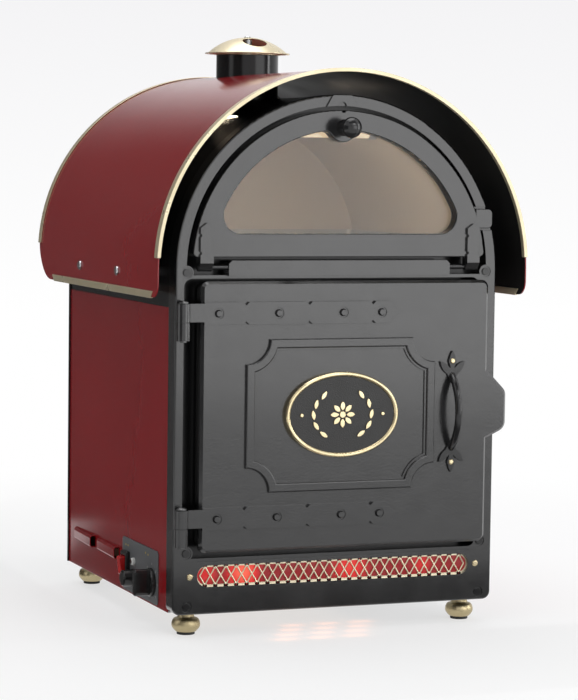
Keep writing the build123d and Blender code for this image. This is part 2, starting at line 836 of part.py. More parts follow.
save(cable_gland, "cable_gland")

# ================================================================ hood
hood_length = hood_front_overhang + hood_back
hood_top = arch_z + hood_outer
with BuildPart() as hood:
    with BuildSketch(facing_front(hood_back)):
        arch_outline(hood_outer, hood_edge_z)
        arch_outline(hood_inner, hood_edge_z, Mode.SUBTRACT)
    extrude(amount=hood_length)
    with BuildSketch(side_view(-hood_outer)) as hood_profile:
        box_outline(-hood_front_overhang, hood_back, hood_edge_z, hood_top + overshoot)
        fillet(hood_profile.vertices().group_by(Axis.Y)[0].sort_by(Axis.X)[0], hood_front_corner)
        fillet(hood_profile.vertices().group_by(Axis.Y)[0].sort_by(Axis.X)[-1], hood_rear_corner)
    extrude(amount=2 * hood_outer, mode=Mode.INTERSECT)
    with BuildSketch(level(arch_z)):
        with Locations((0, chimney_back)):
            Circle(chimney_radius + fit_gap)
    extrude(amount=2 * hood_outer, mode=Mode.SUBTRACT)
    with BuildSketch(side_view(-hood_outer)):
        with Locations([(row, hood_screw_z) for row in hood_screw_rows]):
            Circle(hood_screw_shank_radius + fit_gap)
    extrude(amount=2 * hood_outer, mode=Mode.SUBTRACT)
save(hood, "hood")


def arch_trim(web_front, web_back, leg_front, inner_front, width):
    """Folded arch trim over an edge of the hood: a web across the edge and a leg each side of the sheet."""
    with BuildPart() as trim:
        with BuildSketch(facing_front(web_back)):
            arch_outline(hood_outer + fit_gap + trim_wall, arch_z + trim_end_rise)
            arch_outline(hood_inner - fit_gap - trim_wall, arch_z + trim_end_rise - overshoot, Mode.SUBTRACT)
        extrude(amount=web_back - web_front)
        with BuildSketch(facing_front(leg_front + width)):
            arch_outline(hood_outer + fit_gap + trim_wall, arch_z + trim_end_rise)
            arch_outline(hood_outer + fit_gap, arch_z + trim_end_rise - overshoot, Mode.SUBTRACT)
        extrude(amount=width)
        with BuildSketch(facing_front(inner_front + trim_inner_leg)):
            arch_outline(hood_inner - fit_gap, arch_z + trim_end_rise)
            arch_outline(hood_inner - fit_gap - trim_wall, arch_z + trim_end_rise - overshoot, Mode.SUBTRACT)
        extrude(amount=trim_inner_leg)
    return trim


front_edge = -hood_front_overhang
hood_front_trim = arch_trim(
    front_edge - trim_wall, front_edge, front_edge - trim_wall, front_edge, arch_trim_width
)
save(hood_front_trim, "hood_front_trim")
hood_rear_trim = arch_trim(
    hood_back,
    hood_back + trim_wall,
    hood_back + trim_wall - arch_trim_width,
    hood_back - trim_inner_leg,
    arch_trim_width,
)
save(hood_rear_trim, "hood_rear_trim")

side_trim_low = hood_edge_z - trim_wall
with BuildPart() as hood_side_trims:
    for side in (-1, 1):
        with BuildSketch(facing_front(side_trim_rear)):
            with Locations((side * (hood_inner + hood_outer) / 2, side_trim_low)):
                Rectangle(sheet + 2 * trim_wall, side_trim_width, align=(Align.CENTER, Align.MIN))
            with Locations((side * (hood_inner + hood_outer) / 2, hood_edge_z)):
                Rectangle(sheet, side_trim_width, align=(Align.CENTER, Align.MIN), mode=Mode.SUBTRACT)
        extrude(amount=side_trim_rear - side_trim_front)
    with BuildSketch(side_view(-hood_outer - side_trim_width)):
        with BuildLine():
            Polyline(
                (side_trim_front + side_trim_width, side_trim_low),
                (side_trim_rear - side_trim_width, side_trim_low),
                (side_trim_rear, side_trim_low + side_trim_width),
                (side_trim_front, side_trim_low + side_trim_width),
                close=True,
            )
        make_face()
    extrude(amount=2 * (hood_outer + side_trim_width), mode=Mode.INTERSECT)
save(hood_side_trims, "hood_side_trims")

# Four dome-headed screws through spacers hold the hood off the barrel.
spacer_length = hood_inner - casing_half
with BuildPart() as hood_spacers:
    for start in (-hood_inner, casing_half):
        with BuildSketch(side_view(start)):
            with Locations([(row, hood_screw_z) for row in hood_screw_rows]):
                Circle(hood_spacer_radius)
                Circle(hood_screw_shank_radius + fit_gap, mode=Mode.SUBTRACT)
        extrude(amount=spacer_length)
save(hood_spacers, "hood_spacers")

with BuildPart() as hood_screws:
    for side in (-1, 1):
        with BuildSketch(side_view(side * hood_outer)):
            with Locations([(row, hood_screw_z) for row in hood_screw_rows]):
                Circle(hood_screw_head_radius)
        extrude(amount=side * hood_screw_head_rise)
        fillet(hood_screws.faces().group_by(Axis.X)[-1 if side > 0 else 0].edges(), hood_screw_head_round)
        with BuildSketch(side_view(side * hood_outer)):
            with Locations([(row, hood_screw_z) for row in hood_screw_rows]):
                Circle(hood_screw_shank_radius)
        extrude(amount=-side * (hood_outer - casing_inside + hood_screw_reach))
        with BuildSketch(side_view(side * casing_inside)):
            with Locations([(row, hood_screw_z) for row in hood_screw_rows]):
                RegularPolygon(hood_nut_radius, 6)
        extrude(amount=-side * hood_nut_depth)
save(hood_screws, "hood_screws")

# ================================================================ chimney
with BuildPart() as chimney_tube:
    with BuildSketch(level(chimney_foot)):
        with Locations((0, chimney_back)):
            Circle(chimney_radius)
            Circle(chimney_radius - chimney_wall, mode=Mode.SUBTRACT)
    extrude(amount=chimney_top - chimney_foot)
save(chimney_tube, "chimney_tube")

# Spider: a bar across the mouth of the tube with the pin that carries shutter and cap.
shutter_z = chimney_top + shutter_gap
dome_rise = cap_height - cap_wall
cap_curve = (cap_radius**2 + dome_rise**2) / (2 * dome_rise)
cap_half_angle = degrees(asin(cap_radius / cap_curve))
cap_rim_z = shutter_z + shutter_thickness + shutter_gap
cap_apex_z = cap_rim_z + cap_height
cap_centre_z = cap_apex_z - cap_curve
hollow_start = degrees(asin((cap_curve - cap_height) / (cap_curve - cap_wall)))
with BuildPart() as chimney_spider:
    with BuildSketch(level(chimney_top - spider_height)):
        with Locations((0, chimney_back)):
            Rectangle(2 * (chimney_radius - chimney_wall - spider_fit), spider_width)
    extrude(amount=spider_height)
    with BuildSketch(level(chimney_top)):
        with Locations((0, chimney_back)):
            Circle(cap_pin_radius)
    extrude(amount=cap_apex_z - chimney_top)
    with BuildSketch(level(shutter_z + shutter_thickness + shutter_gap)):
        with Locations((0, chimney_back)):
            Circle(cap_sleeve_radius)
    extrude(amount=cap_height - cap_wall - cap_sleeve_gap)
    with BuildSketch(level(cap_apex_z)):
        with Locations((0, chimney_back)):
            Circle(cap_pin_radius + cap_rivet_step)
    extrude(amount=cap_rivet_rise)
    chamfer(chimney_spider.faces().sort_by(Axis.Z)[-1].edges(), cap_rivet_edge)
save(chimney_spider, "chimney_spider")

# Shutter: a disc with a vent hole and a finger tab that reaches out under the brim of the cap.
with BuildPart() as chimney_shutter:
    with BuildSketch(level(shutter_z)):
        with Locations((0, chimney_back)):
            Circle(chimney_radius + shutter_lap)
            Circle(cap_pin_radius + running_clearance, mode=Mode.SUBTRACT)
            with Locations(Location((0, 0), -90 - vent_turn)):
                with Locations((vent_offset, 0)):
                    Circle(shutter_hole_radius, mode=Mode.SUBTRACT)
            with Locations(Location((0, 0), shutter_tab_turn)):
                with Locations((shutter_tab_reach - shutter_tab_length / 2, 0)):
                    SlotOverall(shutter_tab_length, shutter_tab_width)
    extrude(amount=shutter_thickness)
save(chimney_shutter, "chimney_shutter")

with BuildPart() as chimney_cap:
    with BuildSketch(Plane.XZ):
        with BuildLine():
            dome = CenterArc((0, cap_centre_z), cap_curve, 90 - cap_half_angle, cap_half_angle)
            Polyline(
                dome @ 0, (cap_radius + cap_brim, cap_rim_z + cap_wall), (cap_radius + cap_brim, cap_rim_z)
            )
            hollow = CenterArc((0, cap_centre_z), cap_curve - cap_wall, hollow_start, 90 - hollow_start)
            Line((cap_radius + cap_brim, cap_rim_z), hollow @ 0)
            Line(hollow @ 1, dome @ 1)
        make_face()
    revolve(axis=Axis.Z)
cap_shell = chimney_cap.part
with BuildPart() as chimney_cap:
    with Locations(level(0)):
        with Locations((0, chimney_back, 0)):
            add(cap_shell)
    with BuildSketch(level(cap_rim_z)):
        with Locations((0, chimney_back - vent_offset)):
            Circle(vent_radius)
        with Locations((0, chimney_back)):
            Circle(cap_pin_radius + fit_gap)
    extrude(amount=cap_height + overshoot, mode=Mode.SUBTRACT)
save(chimney_cap, "chimney_cap")

# ================================================================ front casting
# One iron casting: round-topped plate, two openings with bolt bosses, hinge knuckles, the fixed bar of the
# display hinge, the catch plate at the top and a thinned bottom rail with the grille slot.
boss_radius = bolt_ring_radius + bolt_boss_wall
all_plate_bolts = [(side * x, z) for side in (-1, 1) for x, z in plate_bolts_at]
knuckle_lows = [height - knuckle_drop - knuckle_gap - plate_knuckle_height for height in strap_heights]
with BuildPart() as front_plate:
    with BuildSketch(facing_front(plate_depth)) as plate_outline:
        arch_outline(half_width, foot_height)
        fillet(plate_outline.vertices().group_by(Axis.Y)[0], plate_foot_corner)
    extrude(amount=plate_depth)
    fillet(front_plate.faces().sort_by(Axis.Y)[0].edges(), plate_edge_radius)
    with BuildSketch(facing_front(plate_depth)) as oven_hole:
        box_outline(oven_open_left, oven_open_right, oven_open_bottom, oven_open_top)
        fillet(oven_hole.vertices(), oven_open_corner)
    extrude(amount=plate_depth, mode=Mode.SUBTRACT)
    with BuildSketch(facing_front(plate_depth)) as display_hole:
        arch_outline(display_open_radius, display_open_bottom)
        fillet(display_hole.vertices().group_by(Axis.Y)[0], display_corner)
    extrude(amount=plate_depth, mode=Mode.SUBTRACT)
    # thinned bottom rail and the grille slot with its rebate
    with BuildSketch(facing_front(plate_depth)):
        box_outline(-rail_half, rail_half, foot_height + casting_rim, rail_pocket_top)
        with Locations([(side * plate_bolts_at[2][0], plate_bolts_at[2][1]) for side in (-1, 1)]):
            Circle(boss_radius, mode=Mode.SUBTRACT)
    extrude(amount=plate_depth - casting_skin, mode=Mode.SUBTRACT)
    with BuildSketch(facing_front(casting_skin)):
        with Locations((0, grille_z)):
            SlotOverall(2 * grille_frame_half_length, 2 * grille_frame_radius)
    extrude(amount=casting_skin - grille_recess, mode=Mode.SUBTRACT)
    with BuildSketch(facing_front(casting_skin)):
        with Locations((0, grille_z)):
            SlotOverall(2 * grille_half_length, 2 * grille_slot_radius)
        with Locations((-grille_screw_x, grille_z), (grille_screw_x, grille_z)):
            Circle(grille_screw_shank)
    extrude(amount=casting_skin, mode=Mode.SUBTRACT)
    with BuildSketch(facing_front(groove_depth)):
        with Locations((0, groove_z)):
            Rectangle(2 * grille_half_length, groove_height)
    extrude(amount=groove_depth, mode=Mode.SUBTRACT)
    # bolt bosses in the corners of the openings
    with BuildSketch(facing_front(plate_depth)):
        with Locations(all_plate_bolts):
            Circle(boss_radius)
    extrude(amount=plate_depth)
    with BuildSketch(facing_front(plate_depth)):
        with Locations(all_plate_bolts):
            Circle(plate_bolt_radius)
    extrude(amount=plate_depth, mode=Mode.SUBTRACT)
    with BuildSketch(facing_front(bolt_ring_depth)):
        with Locations(all_plate_bolts):
            Circle(bolt_ring_radius)
            Circle(bolt_head_radius, mode=Mode.SUBTRACT)
    extrude(amount=bolt_ring_depth, mode=Mode.SUBTRACT)
    # oven door knuckles on lugs
    with BuildSketch(facing_front(0)):
        for low in knuckle_lows:
            box_outline(lug_edge_gap - half_width, lug_inner_x, low, low + plate_knuckle_height)
    extrude(amount=hinge_forward)
    for low in knuckle_lows:
        with BuildSketch(level(low)):
            with Locations((hinge_x, -hinge_forward)):
                Circle(knuckle_radius)
        extrude(amount=plate_knuckle_height)
        with BuildSketch(level(low)):
            with Locations((hinge_x, -hinge_forward)):
                Circle(hinge_pin_radius)
        extrude(amount=plate_knuckle_height, mode=Mode.SUBTRACT)
    # fixed bar of the display hinge, bevelled at its ends
    with BuildSketch(facing_front(hinge_bar_back)):
        with BuildLine():
            Polyline(
                (-hinge_bar_half_length, display_open_bottom - overshoot),
                (hinge_bar_half_length, display_open_bottom - overshoot),
                (hinge_bar_half_length, hinge_bar_top - hinge_bar_bevel),
                (hinge_bar_half_length - hinge_bar_bevel, hinge_bar_top),
                (hinge_bar_bevel - hinge_bar_half_length, hinge_bar_top),
                (-hinge_bar_half_length, hinge_bar_top - hinge_bar_bevel),
                close=True,
            )
        make_face()
    extrude(amount=hinge_bar_back + hinge_bar_proud)
    with BuildSketch(side_view(-hinge_bar_half_length)):
        with Locations((0, display_hinge_z)):
            Circle(display_pin_radius)
    extrude(amount=pin_bury, mode=Mode.SUBTRACT)
    with BuildSketch(side_view(hinge_bar_half_length - pin_bury)):
        with Locations((0, display_hinge_z)):
            Circle(display_pin_radius)
    extrude(amount=pin_bury, mode=Mode.SUBTRACT)
    # notch for the grip tab of the display door
    with BuildSketch(facing_front(display_tab_back + display_tab_clearance)):
        box_outline(
            display_tab_root,
            half_width + overshoot,
            display_tab_low - display_tab_clearance,
            display_tab_high + display_tab_clearance,
        )
    extrude(amount=display_tab_back + display_tab_clearance, mode=Mode.SUBTRACT)
    # catch plate, and the pocket for the magnet behind it
    with BuildSketch(facing_front(0)) as catch_plate:
        with BuildLine():
            Polyline(
                (-catch_tab_half_base, arch_z + display_open_radius - catch_tab_lap),
                (catch_tab_half_base, arch_z + display_open_radius - catch_tab_lap),
                (catch_tab_half_top, catch_tab_top),
                (-catch_tab_half_top, catch_tab_top),
                close=True,
            )
        make_face()
        fillet(catch_plate.vertices().group_by(Axis.Y)[-1], catch_tab_corner)
        with Locations((0, arch_z)):
            Circle(display_open_radius, mode=Mode.SUBTRACT)
        with Locations((0, arch_z + display_open_radius)):
            Circle(catch_notch_radius, mode=Mode.SUBTRACT)
    extrude(amount=catch_tab_rise)
    with BuildSketch(facing_front(plate_depth)):
        with Locations((0, magnet_low)):
            Rectangle(magnet_length, magnet_height, align=(Align.CENTER, Align.MIN))
    extrude(amount=magnet_depth, mode=Mode.SUBTRACT)
save(front_plate, "front_plate")

# Flat-headed bolts with nuts: the low pair takes the base pan, the others take the flanges behind.
with BuildPart() as front_plate_bolts:
    with BuildSketch(facing_front(0)):
        with Locations(all_plate_bolts):
            Circle(bolt_head_radius)
    extrude(amount=bolt_rise)
    chamfer(front_plate_bolts.faces().group_by(Axis.Y)[0].edges(), bolt_bevel)
    with BuildSketch(facing_front(0)):
        with Locations(all_plate_bolts):
            Circle(plate_bolt_radius)
    extrude(amount=-(plate_depth + base_sheet + plate_nut_depth + plate_bolt_end))
    with BuildSketch(facing_front(plate_depth + liner_wall)):
        with Locations([place for place in all_plate_bolts if place[1] > oven_open_bottom]):
            RegularPolygon(plate_nut_radius, 6)
    extrude(amount=-plate_nut_depth)
    with BuildSketch(facing_front(plate_depth + base_sheet)):
        with Locations([place for place in all_plate_bolts if place[1] < oven_open_bottom]):
            RegularPolygon(plate_nut_radius, 6)
    extrude(amount=-plate_nut_depth)
save(front_plate_bolts, "front_plate_bolts")

# ================================================================ glowing grille
# Fret: a pierced strip in which two waves cross, leaving pointed ovals with spandrels between them.
fret_pitch = 2 * (grille_half_length - fret_end_margin) / fret_count
oval_half_width = (fret_pitch - fret_strip) / 2
oval_half_height = fret_oval_height / 2
with BuildPart() as fret_grille:
    with BuildSketch(mode=Mode.PRIVATE) as fret_oval:
        with BuildLine():
            ThreePointArc((0, -oval_half_height), (oval_half_width, 0), (0, oval_half_height))
            ThreePointArc((0, oval_half_height), (-oval_half_width, 0), (0, -oval_half_height))
        make_face()
    with BuildSketch(mode=Mode.PRIVATE) as fret_spandrel:
        with BuildLine():
            Polyline((-spandrel_half_width, 0), (spandrel_half_width, 0), (0, -spandrel_height), close=True)
        make_face()
    with BuildSketch(facing_front(grille_recess + fret_thickness)):
        with Locations((0, grille_z)):
            SlotOverall(2 * (grille_frame_half_length - fit_gap), 2 * (grille_frame_radius - fit_gap))
            with GridLocations(fret_pitch, 1, fret_count, 1):
                add(fret_oval.sketch, mode=Mode.SUBTRACT)
            with GridLocations(fret_pitch, 1, fret_count + 1, 1):
                with Locations((0, oval_half_height)):
                    add(fret_spandrel.sketch, mode=Mode.SUBTRACT)
                with Locations(Location((0, -oval_half_height), 180)):
                    add(fret_spandrel.sketch, mode=Mode.SUBTRACT)
            with Locations((-grille_screw_x, 0), (grille_screw_x, 0)):
                Circle(grille_screw_shank, mode=Mode.SUBTRACT)
    extrude(amount=fret_thickness)
save(fret_grille, "fret_grille")

lens_front = grille_recess + fret_thickness
with BuildPart() as red_lens:
    with BuildSketch(facing_front(lens_front + lens_thickness)):
        with Locations((0, grille_z)):
            SlotOverall(2 * grille_half_length, 2 * (grille_frame_radius - fit_gap))
    extrude(amount=lens_thickness)
save(red_lens, "red_lens")

with BuildPart() as grille_screws:
    with BuildSketch(facing_front(0)):
        with Locations((-grille_screw_x, grille_z), (grille_screw_x, grille_z)):
            Circle(grille_screw_radius)
    extrude(amount=small_head_rise)
    chamfer(grille_screws.faces().group_by(Axis.Y)[0].edges(), small_head_bevel)
    with BuildSketch(facing_front(0)):
        with Locations((-grille_screw_x, grille_z), (grille_screw_x, grille_z)):
            Circle(grille_screw_shank)
    extrude(amount=-(lens_front + grille_screw_reach))
    with BuildSketch(facing_front(lens_front)):
        with Locations((-grille_screw_x, grille_z), (grille_screw_x, grille_z)):
            RegularPolygon(grille_nut_radius, 6)
    extrude(amount=-grille_nut_depth)
save(grille_screws, "grille_screws")

# Tube lamp behind the lens, in two end holders that stand on the base pan.
pan_floor = foot_height + base_sheet
with BuildPart() as glow_lamp:
    with BuildSketch(side_view(-glow_lamp_length / 2)):
        with Locations((glow_lamp_back, grille_z)):
            Circle(glow_lamp_radius)
    extrude(amount=glow_lamp_length)
save(glow_lamp, "glow_lamp")

with BuildPart() as glow_lamp_holders:
    for side in (-1, 1):
        with BuildSketch(side_view(side * glow_lamp_length / 2)):
            box_outline(
                glow_lamp_back - glow_lamp_radius - lamp_holder_wall,
                glow_lamp_back + glow_lamp_radius + lamp_holder_wall,
                pan_floor,
                grille_z + glow_lamp_radius + lamp_holder_wall,
            )
        extrude(amount=side * lamp_holder_length)
    fillet(glow_lamp_holders.faces().group_by(Axis.Z)[-1].edges().filter_by(Axis.X), lamp_holder_round)
save(glow_lamp_holders, "glow_lamp_holders")

with BuildPart() as display_magnet:
    with BuildSketch(facing_front(plate_depth)):
        with Locations((0, magnet_low)):
            Rectangle(magnet_length, magnet_height, align=(Align.CENTER, Align.MIN))
    extrude(amount=magnet_depth)
save(display_magnet, "display_magnet")

# ================================================================ oven door
# Strap: notched on both edges, with a rounded shoulder drawn in to a point.
strap_root = oven_door_left + strap_edge_gap
strap_body_end = strap_root + strap_body_length
strap_tip = strap_body_end + strap_point_length
shoulder = strap_body_end + strap_shoulder_length
with BuildSketch(mode=Mode.PRIVATE) as strap_shape:
    box_outline(strap_root, strap_body_end, -strap_half_height, strap_half_height)
    for sign in (-1, 1):
        with BuildLine():
            ThreePointArc(
                (strap_body_end, sign * strap_half_height),
                (
                    strap_body_end + 0.8 * strap_shoulder_length,
                    sign * (strap_half_height - 0.3 * strap_shoulder_drop),
                ),
                (shoulder, sign * (strap_half_height - strap_shoulder_drop)),
            )
            ThreePointArc(
                (shoulder, sign * (strap_half_height - strap_shoulder_drop)),
                ((shoulder + strap_tip) / 2 - overshoot, sign * strap_tip_hollow),
                (strap_tip, 0),
            )
            Line((strap_tip, 0), (strap_body_end, 0))
            Line((strap_body_end, 0), (strap_body_end, sign * strap_half_height))
        make_face()
    notches_at = [strap_root + along for along in strap_notches]
    notch_places = [(x, sign * strap_half_height) for x in notches_at for sign in (-1, 1)]
    with Locations(notch_places):
        Rectangle(
            strap_notch_depth * sqrt(2), strap_notch_depth * sqrt(2), rotation=45, mode=Mode.SUBTRACT
        )


def petal_outline(half_length, half_width):
    """Pointed petal between two arcs, lying along its local x."""
    with BuildSketch(mode=Mode.PRIVATE) as petal_shape:
        with BuildLine():
            ThreePointArc((-half_length, 0), (0, half_width), (half_length, 0))
            ThreePointArc((half_length, 0), (0, -half_width), (-half_length, 0))
        make_face()
    return petal_shape.sketch


def scooped_panel(inset):
    """Outline of the raised frame, drawn in by an inset: a quarter circle is scooped out of each corner."""
    scoop_radius = frame_scoop_radius + inset
    with BuildSketch(mode=Mode.PRIVATE) as panel_shape:
        Rectangle(2 * (frame_half_width - inset), 2 * (frame_half_height - inset))
        with GridLocations(2 * frame_half_width, 2 * frame_half_height, 2, 2):
            Circle(scoop_radius, mode=Mode.SUBTRACT)
    return panel_shape.sketch


bead_offset = frame_band - frame_bead_width
with BuildPart() as oven_door:
    with BuildSketch(facing_front(-oven_door_gap)) as door_outline:
        box_outline(oven_door_left, oven_door_right, oven_door_bottom, oven_door_top)
        fillet(door_outline.vertices(), oven_door_corner)
        with BuildLine():
            Polyline(
                (oven_door_right - overshoot, grip_tab_low),
                (oven_door_right + grip_tab_reach, grip_tab_low_shoulder - grip_tab_round),
                (oven_door_right + grip_tab_reach, grip_tab_high_shoulder),
                (oven_door_right - overshoot, grip_tab_high),
                close=True,
            )
        make_face()
        tab_tips = door_outline.vertices().group_by(Axis.X)[-1]
        fillet(tab_tips, grip_tab_round)
    extrude(amount=oven_door_thickness)
    chamfer(oven_door.faces().sort_by(Axis.Y)[0].edges(), door_edge_radius)
    # straps and hinge arms
    with BuildSketch(facing_front(-oven_door_front)):
        with Locations([(0, height) for height in strap_heights]):
            add(strap_shape.sketch)
    extrude(amount=strap_thickness)
    for height in strap_heights:
        knuckle_low = height - knuckle_drop
        with BuildSketch(level(knuckle_low)):
            box_outline(hinge_x, strap_root + lug_arm_reach, -strap_front, -oven_door_gap - lug_arm_step)
            with Locations((hinge_x, -hinge_forward)):
                Circle(knuckle_radius)
        extrude(amount=door_knuckle_height)
        with BuildSketch(level(knuckle_low)):
            with Locations((hinge_x, -hinge_forward)):
                Circle(hinge_pin_radius + running_clearance)
        extrude(amount=door_knuckle_height, mode=Mode.SUBTRACT)
    # rivets in ring recesses along the straps
    rivets_at = [(strap_root + along, height) for height in strap_heights for along in rivet_places]
    with BuildSketch(facing_front(rivet_ring_depth - strap_front)):
        with Locations(rivets_at):
            Circle(rivet_ring_radius)
            Circle(rivet_radius, mode=Mode.SUBTRACT)
    extrude(amount=rivet_ring_depth, mode=Mode.SUBTRACT)
    with BuildSketch(facing_front(-strap_front)):
        with Locations(rivets_at):
            Circle(rivet_radius)
    extrude(amount=rivet_rise, taper=rivet_taper)
    # raised frame with scooped corners and a bead along its inner edge
    with BuildSketch(facing_front(-oven_door_front)):
        with Locations((0, frame_middle_z)):
            add(scooped_panel(0))
            add(scooped_panel(bead_offset), mode=Mode.SUBTRACT)
    extrude(amount=frame_rise)
    frame_top = face_y - oven_door_front - frame_rise
    flat_faces = oven_door.faces().filter_by(Axis.Y)
    frame_faces = flat_faces.filter_by_position(Axis.Y, frame_top - tolerance, frame_top + tolerance)
    fillet(frame_faces.sort_by(SortBy.AREA)[-1].edges(), frame_edge_radius)
    with BuildSketch(facing_front(-oven_door_front)):
        with Locations((0, frame_middle_z)):
            add(scooped_panel(bead_offset))
            add(scooped_panel(frame_band), mode=Mode.SUBTRACT)
    extrude(amount=frame_bead_rise)
save(oven_door, "oven_door")

# Inner pan: closes the back of the door and stands in the oven mouth.
pan_left = oven_door_left + door_pan_inset
pan_right = oven_open_right - door_pan_inset
pan_low = oven_door_bottom + door_pan_inset
pan_high = oven_door_top - door_pan_inset
pan_back = door_pan_depth - oven_door_gap
with BuildPart() as oven_door_pan:
    with BuildSketch(facing_front(pan_back)) as pan_outline:
        box_outline(pan_left, pan_right, pan_low, pan_high)
        fillet(pan_outline.vertices(), door_pan_corner)
    extrude(amount=door_pan_depth)
    pan_mouth = oven_door_pan.faces().sort_by(Axis.Y)[0]
    offset(amount=-door_pan_wall, openings=pan_mouth)
save(oven_door_pan, "oven_door_pan")

with BuildPart() as oven_door_seal:
    with BuildSketch(facing_front(pan_back + seal_thickness)) as seal_outline:
        box_outline(pan_left, pan_right, pan_low, pan_high)
        fillet(seal_outline.vertices(), door_pan_corner)
        offset(amount=-seal_edge_gap, mode=Mode.REPLACE)
        offset(amount=-seal_width, mode=Mode.SUBTRACT)
    extrude(amount=seal_thickness)
save(oven_door_seal, "oven_door_seal")

with BuildPart() as oven_door_hinge_pins:
    for height, low in zip(strap_heights, knuckle_lows):
        pin_top = height - knuckle_drop + door_knuckle_height + fit_gap
        with BuildSketch(level(low - pin_tail)):
            with Locations((hinge_x, -hinge_forward)):
                Circle(hinge_pin_radius)
        extrude(amount=pin_top - low + pin_tail)
        with BuildSketch(level(pin_top)):
            with Locations((hinge_x, -hinge_forward)):
                Circle(pin_head_radius)
        extrude(amount=pin_head_height)
        chamfer(oven_door_hinge_pins.faces().sort_by(Axis.Z)[-1].edges(), pin_head_bevel)
save(oven_door_hinge_pins, "oven_door_hinge_pins")

# Badge: an oval boss with a raised rim, a flower of eight petals and a spray of leaves on each side.
field_front = oven_door_front + badge_field_rise
with BuildPart() as badge_field:
    with BuildSketch(facing_front(-oven_door_front)):
        with Locations((0, frame_middle_z)):
            Ellipse(
                badge_half_width - badge_rim_width - fit_gap, badge_half_height - badge_rim_width - fit_gap
            )
    extrude(amount=badge_field_rise)
save(badge_field, "badge_field")

with BuildPart() as badge_trim:
    with BuildSketch(facing_front(-oven_door_front)):
        with Locations((0, frame_middle_z)):
            Ellipse(badge_half_width, badge_half_height)
            Ellipse(
                badge_half_width - badge_rim_width, badge_half_height - badge_rim_width, mode=Mode.SUBTRACT
            )
    extrude(amount=badge_rim_rise)
    chamfer(badge_trim.faces().sort_by(Axis.Y)[0].edges(), badge_rim_bevel)
    with BuildSketch(facing_front(-field_front)):
        with Locations((0, frame_middle_z)):
            Circle(petal_eye_radius)
            with PolarLocations(petal_ring_radius, petal_count):
                add(petal_outline(petal_half_length, petal_half_width))
            for side in (-1, 1):
                for step in range(leaf_count):
                    leaf_angle = radians(leaf_first_angle + step * leaf_step_angle)
                    leaf_x = side * leaf_spray_width * cos(leaf_angle)
                    leaf_z = leaf_spray_height * sin(leaf_angle)
                    leaf_turn = 90 - side * leaf_lean * (leaf_count / 2 - step) / leaf_count
                    with Locations(Location((leaf_x, leaf_z), leaf_turn)):
                        add(petal_outline(leaf_half_length, leaf_half_width))
    extrude(amount=badge_relief)
save(badge_trim, "badge_trim")

with BuildPart() as badge_rivets:
    with BuildSketch(facing_front(-field_front)):
        with Locations((-badge_rivet_x, frame_middle_z), (badge_rivet_x, frame_middle_z)):
            Circle(badge_rivet_radius)
    extrude(amount=badge_relief, taper=badge_rivet_taper)
save(badge_rivets, "badge_rivets")

# Handle: a bowed bar on two feet shaped as three-petalled flowers, each held by one screw.
petal = petal_outline(handle_petal_length / 2, handle_petal_width / 2)
bow_half = handle_bow_span / 2
handle_screws_at = [(handle_x, frame_middle_z + side * handle_screw_offset) for side in (-1, 1)]
bow_crest = oven_door_front + handle_reach - handle_bar_radius
with BuildPart() as door_handle:
    with BuildSketch(facing_front(-oven_door_front)):
        with Locations(Location((handle_x, frame_middle_z), 0), Location((handle_x, frame_middle_z), 180)):
            with Locations((0, bow_half + handle_boss_step)):
                Circle(handle_boss_radius)
            with Locations(Location((0, handle_screw_offset), 90)):
                add(petal)
                Circle(handle_screw_radius + handle_eye_rim)
            for petal_side in (-1, 1):
                petal_place = (petal_side * handle_side_petal_out, bow_half + handle_side_petal_out)
                with Locations(Location(petal_place, 90 - petal_side * handle_side_petal_lean)):
                    add(petal)
    extrude(amount=handle_foot_thickness)
    with BuildLine(side_view(handle_x)) as bow_path:
        ThreePointArc(
            (-oven_door_front - overshoot, frame_middle_z - bow_half),
            (-bow_crest, frame_middle_z),
            (-oven_door_front - overshoot, frame_middle_z + bow_half),
        )
    with BuildSketch(Plane(origin=bow_path.wire() @ 0, z_dir=bow_path.wire() % 0)):
        Circle(handle_bar_radius)
    sweep()
    with BuildSketch(facing_front(-oven_door_front)):
        with Locations((handle_x, frame_middle_z)):
            Rectangle(4 * handle_boss_radius, handle_bow_span + 4 * handle_boss_radius)
    extrude(amount=-oven_door_thickness, mode=Mode.SUBTRACT)
    with BuildSketch(facing_front(-oven_door_front)):
        with Locations(handle_screws_at):
            Circle(handle_screw_shank)
    extrude(amount=handle_foot_thickness, mode=Mode.SUBTRACT)
save(door_handle, "door_handle")

with BuildPart() as handle_screws:
    with BuildSketch(facing_front(-oven_door_front - handle_foot_thickness)):
        with Locations(handle_screws_at):
            Circle(handle_screw_radius)
    extrude(amount=small_head_rise)
    chamfer(handle_screws.faces().group_by(Axis.Y)[0].edges(), small_head_bevel)
    with BuildSketch(facing_front(-oven_door_front)):
        with Locations(handle_screws_at):
            Circle(handle_screw_shank)
    extrude(amount=handle_foot_thickness)
save(handle_screws, "handle_screws")

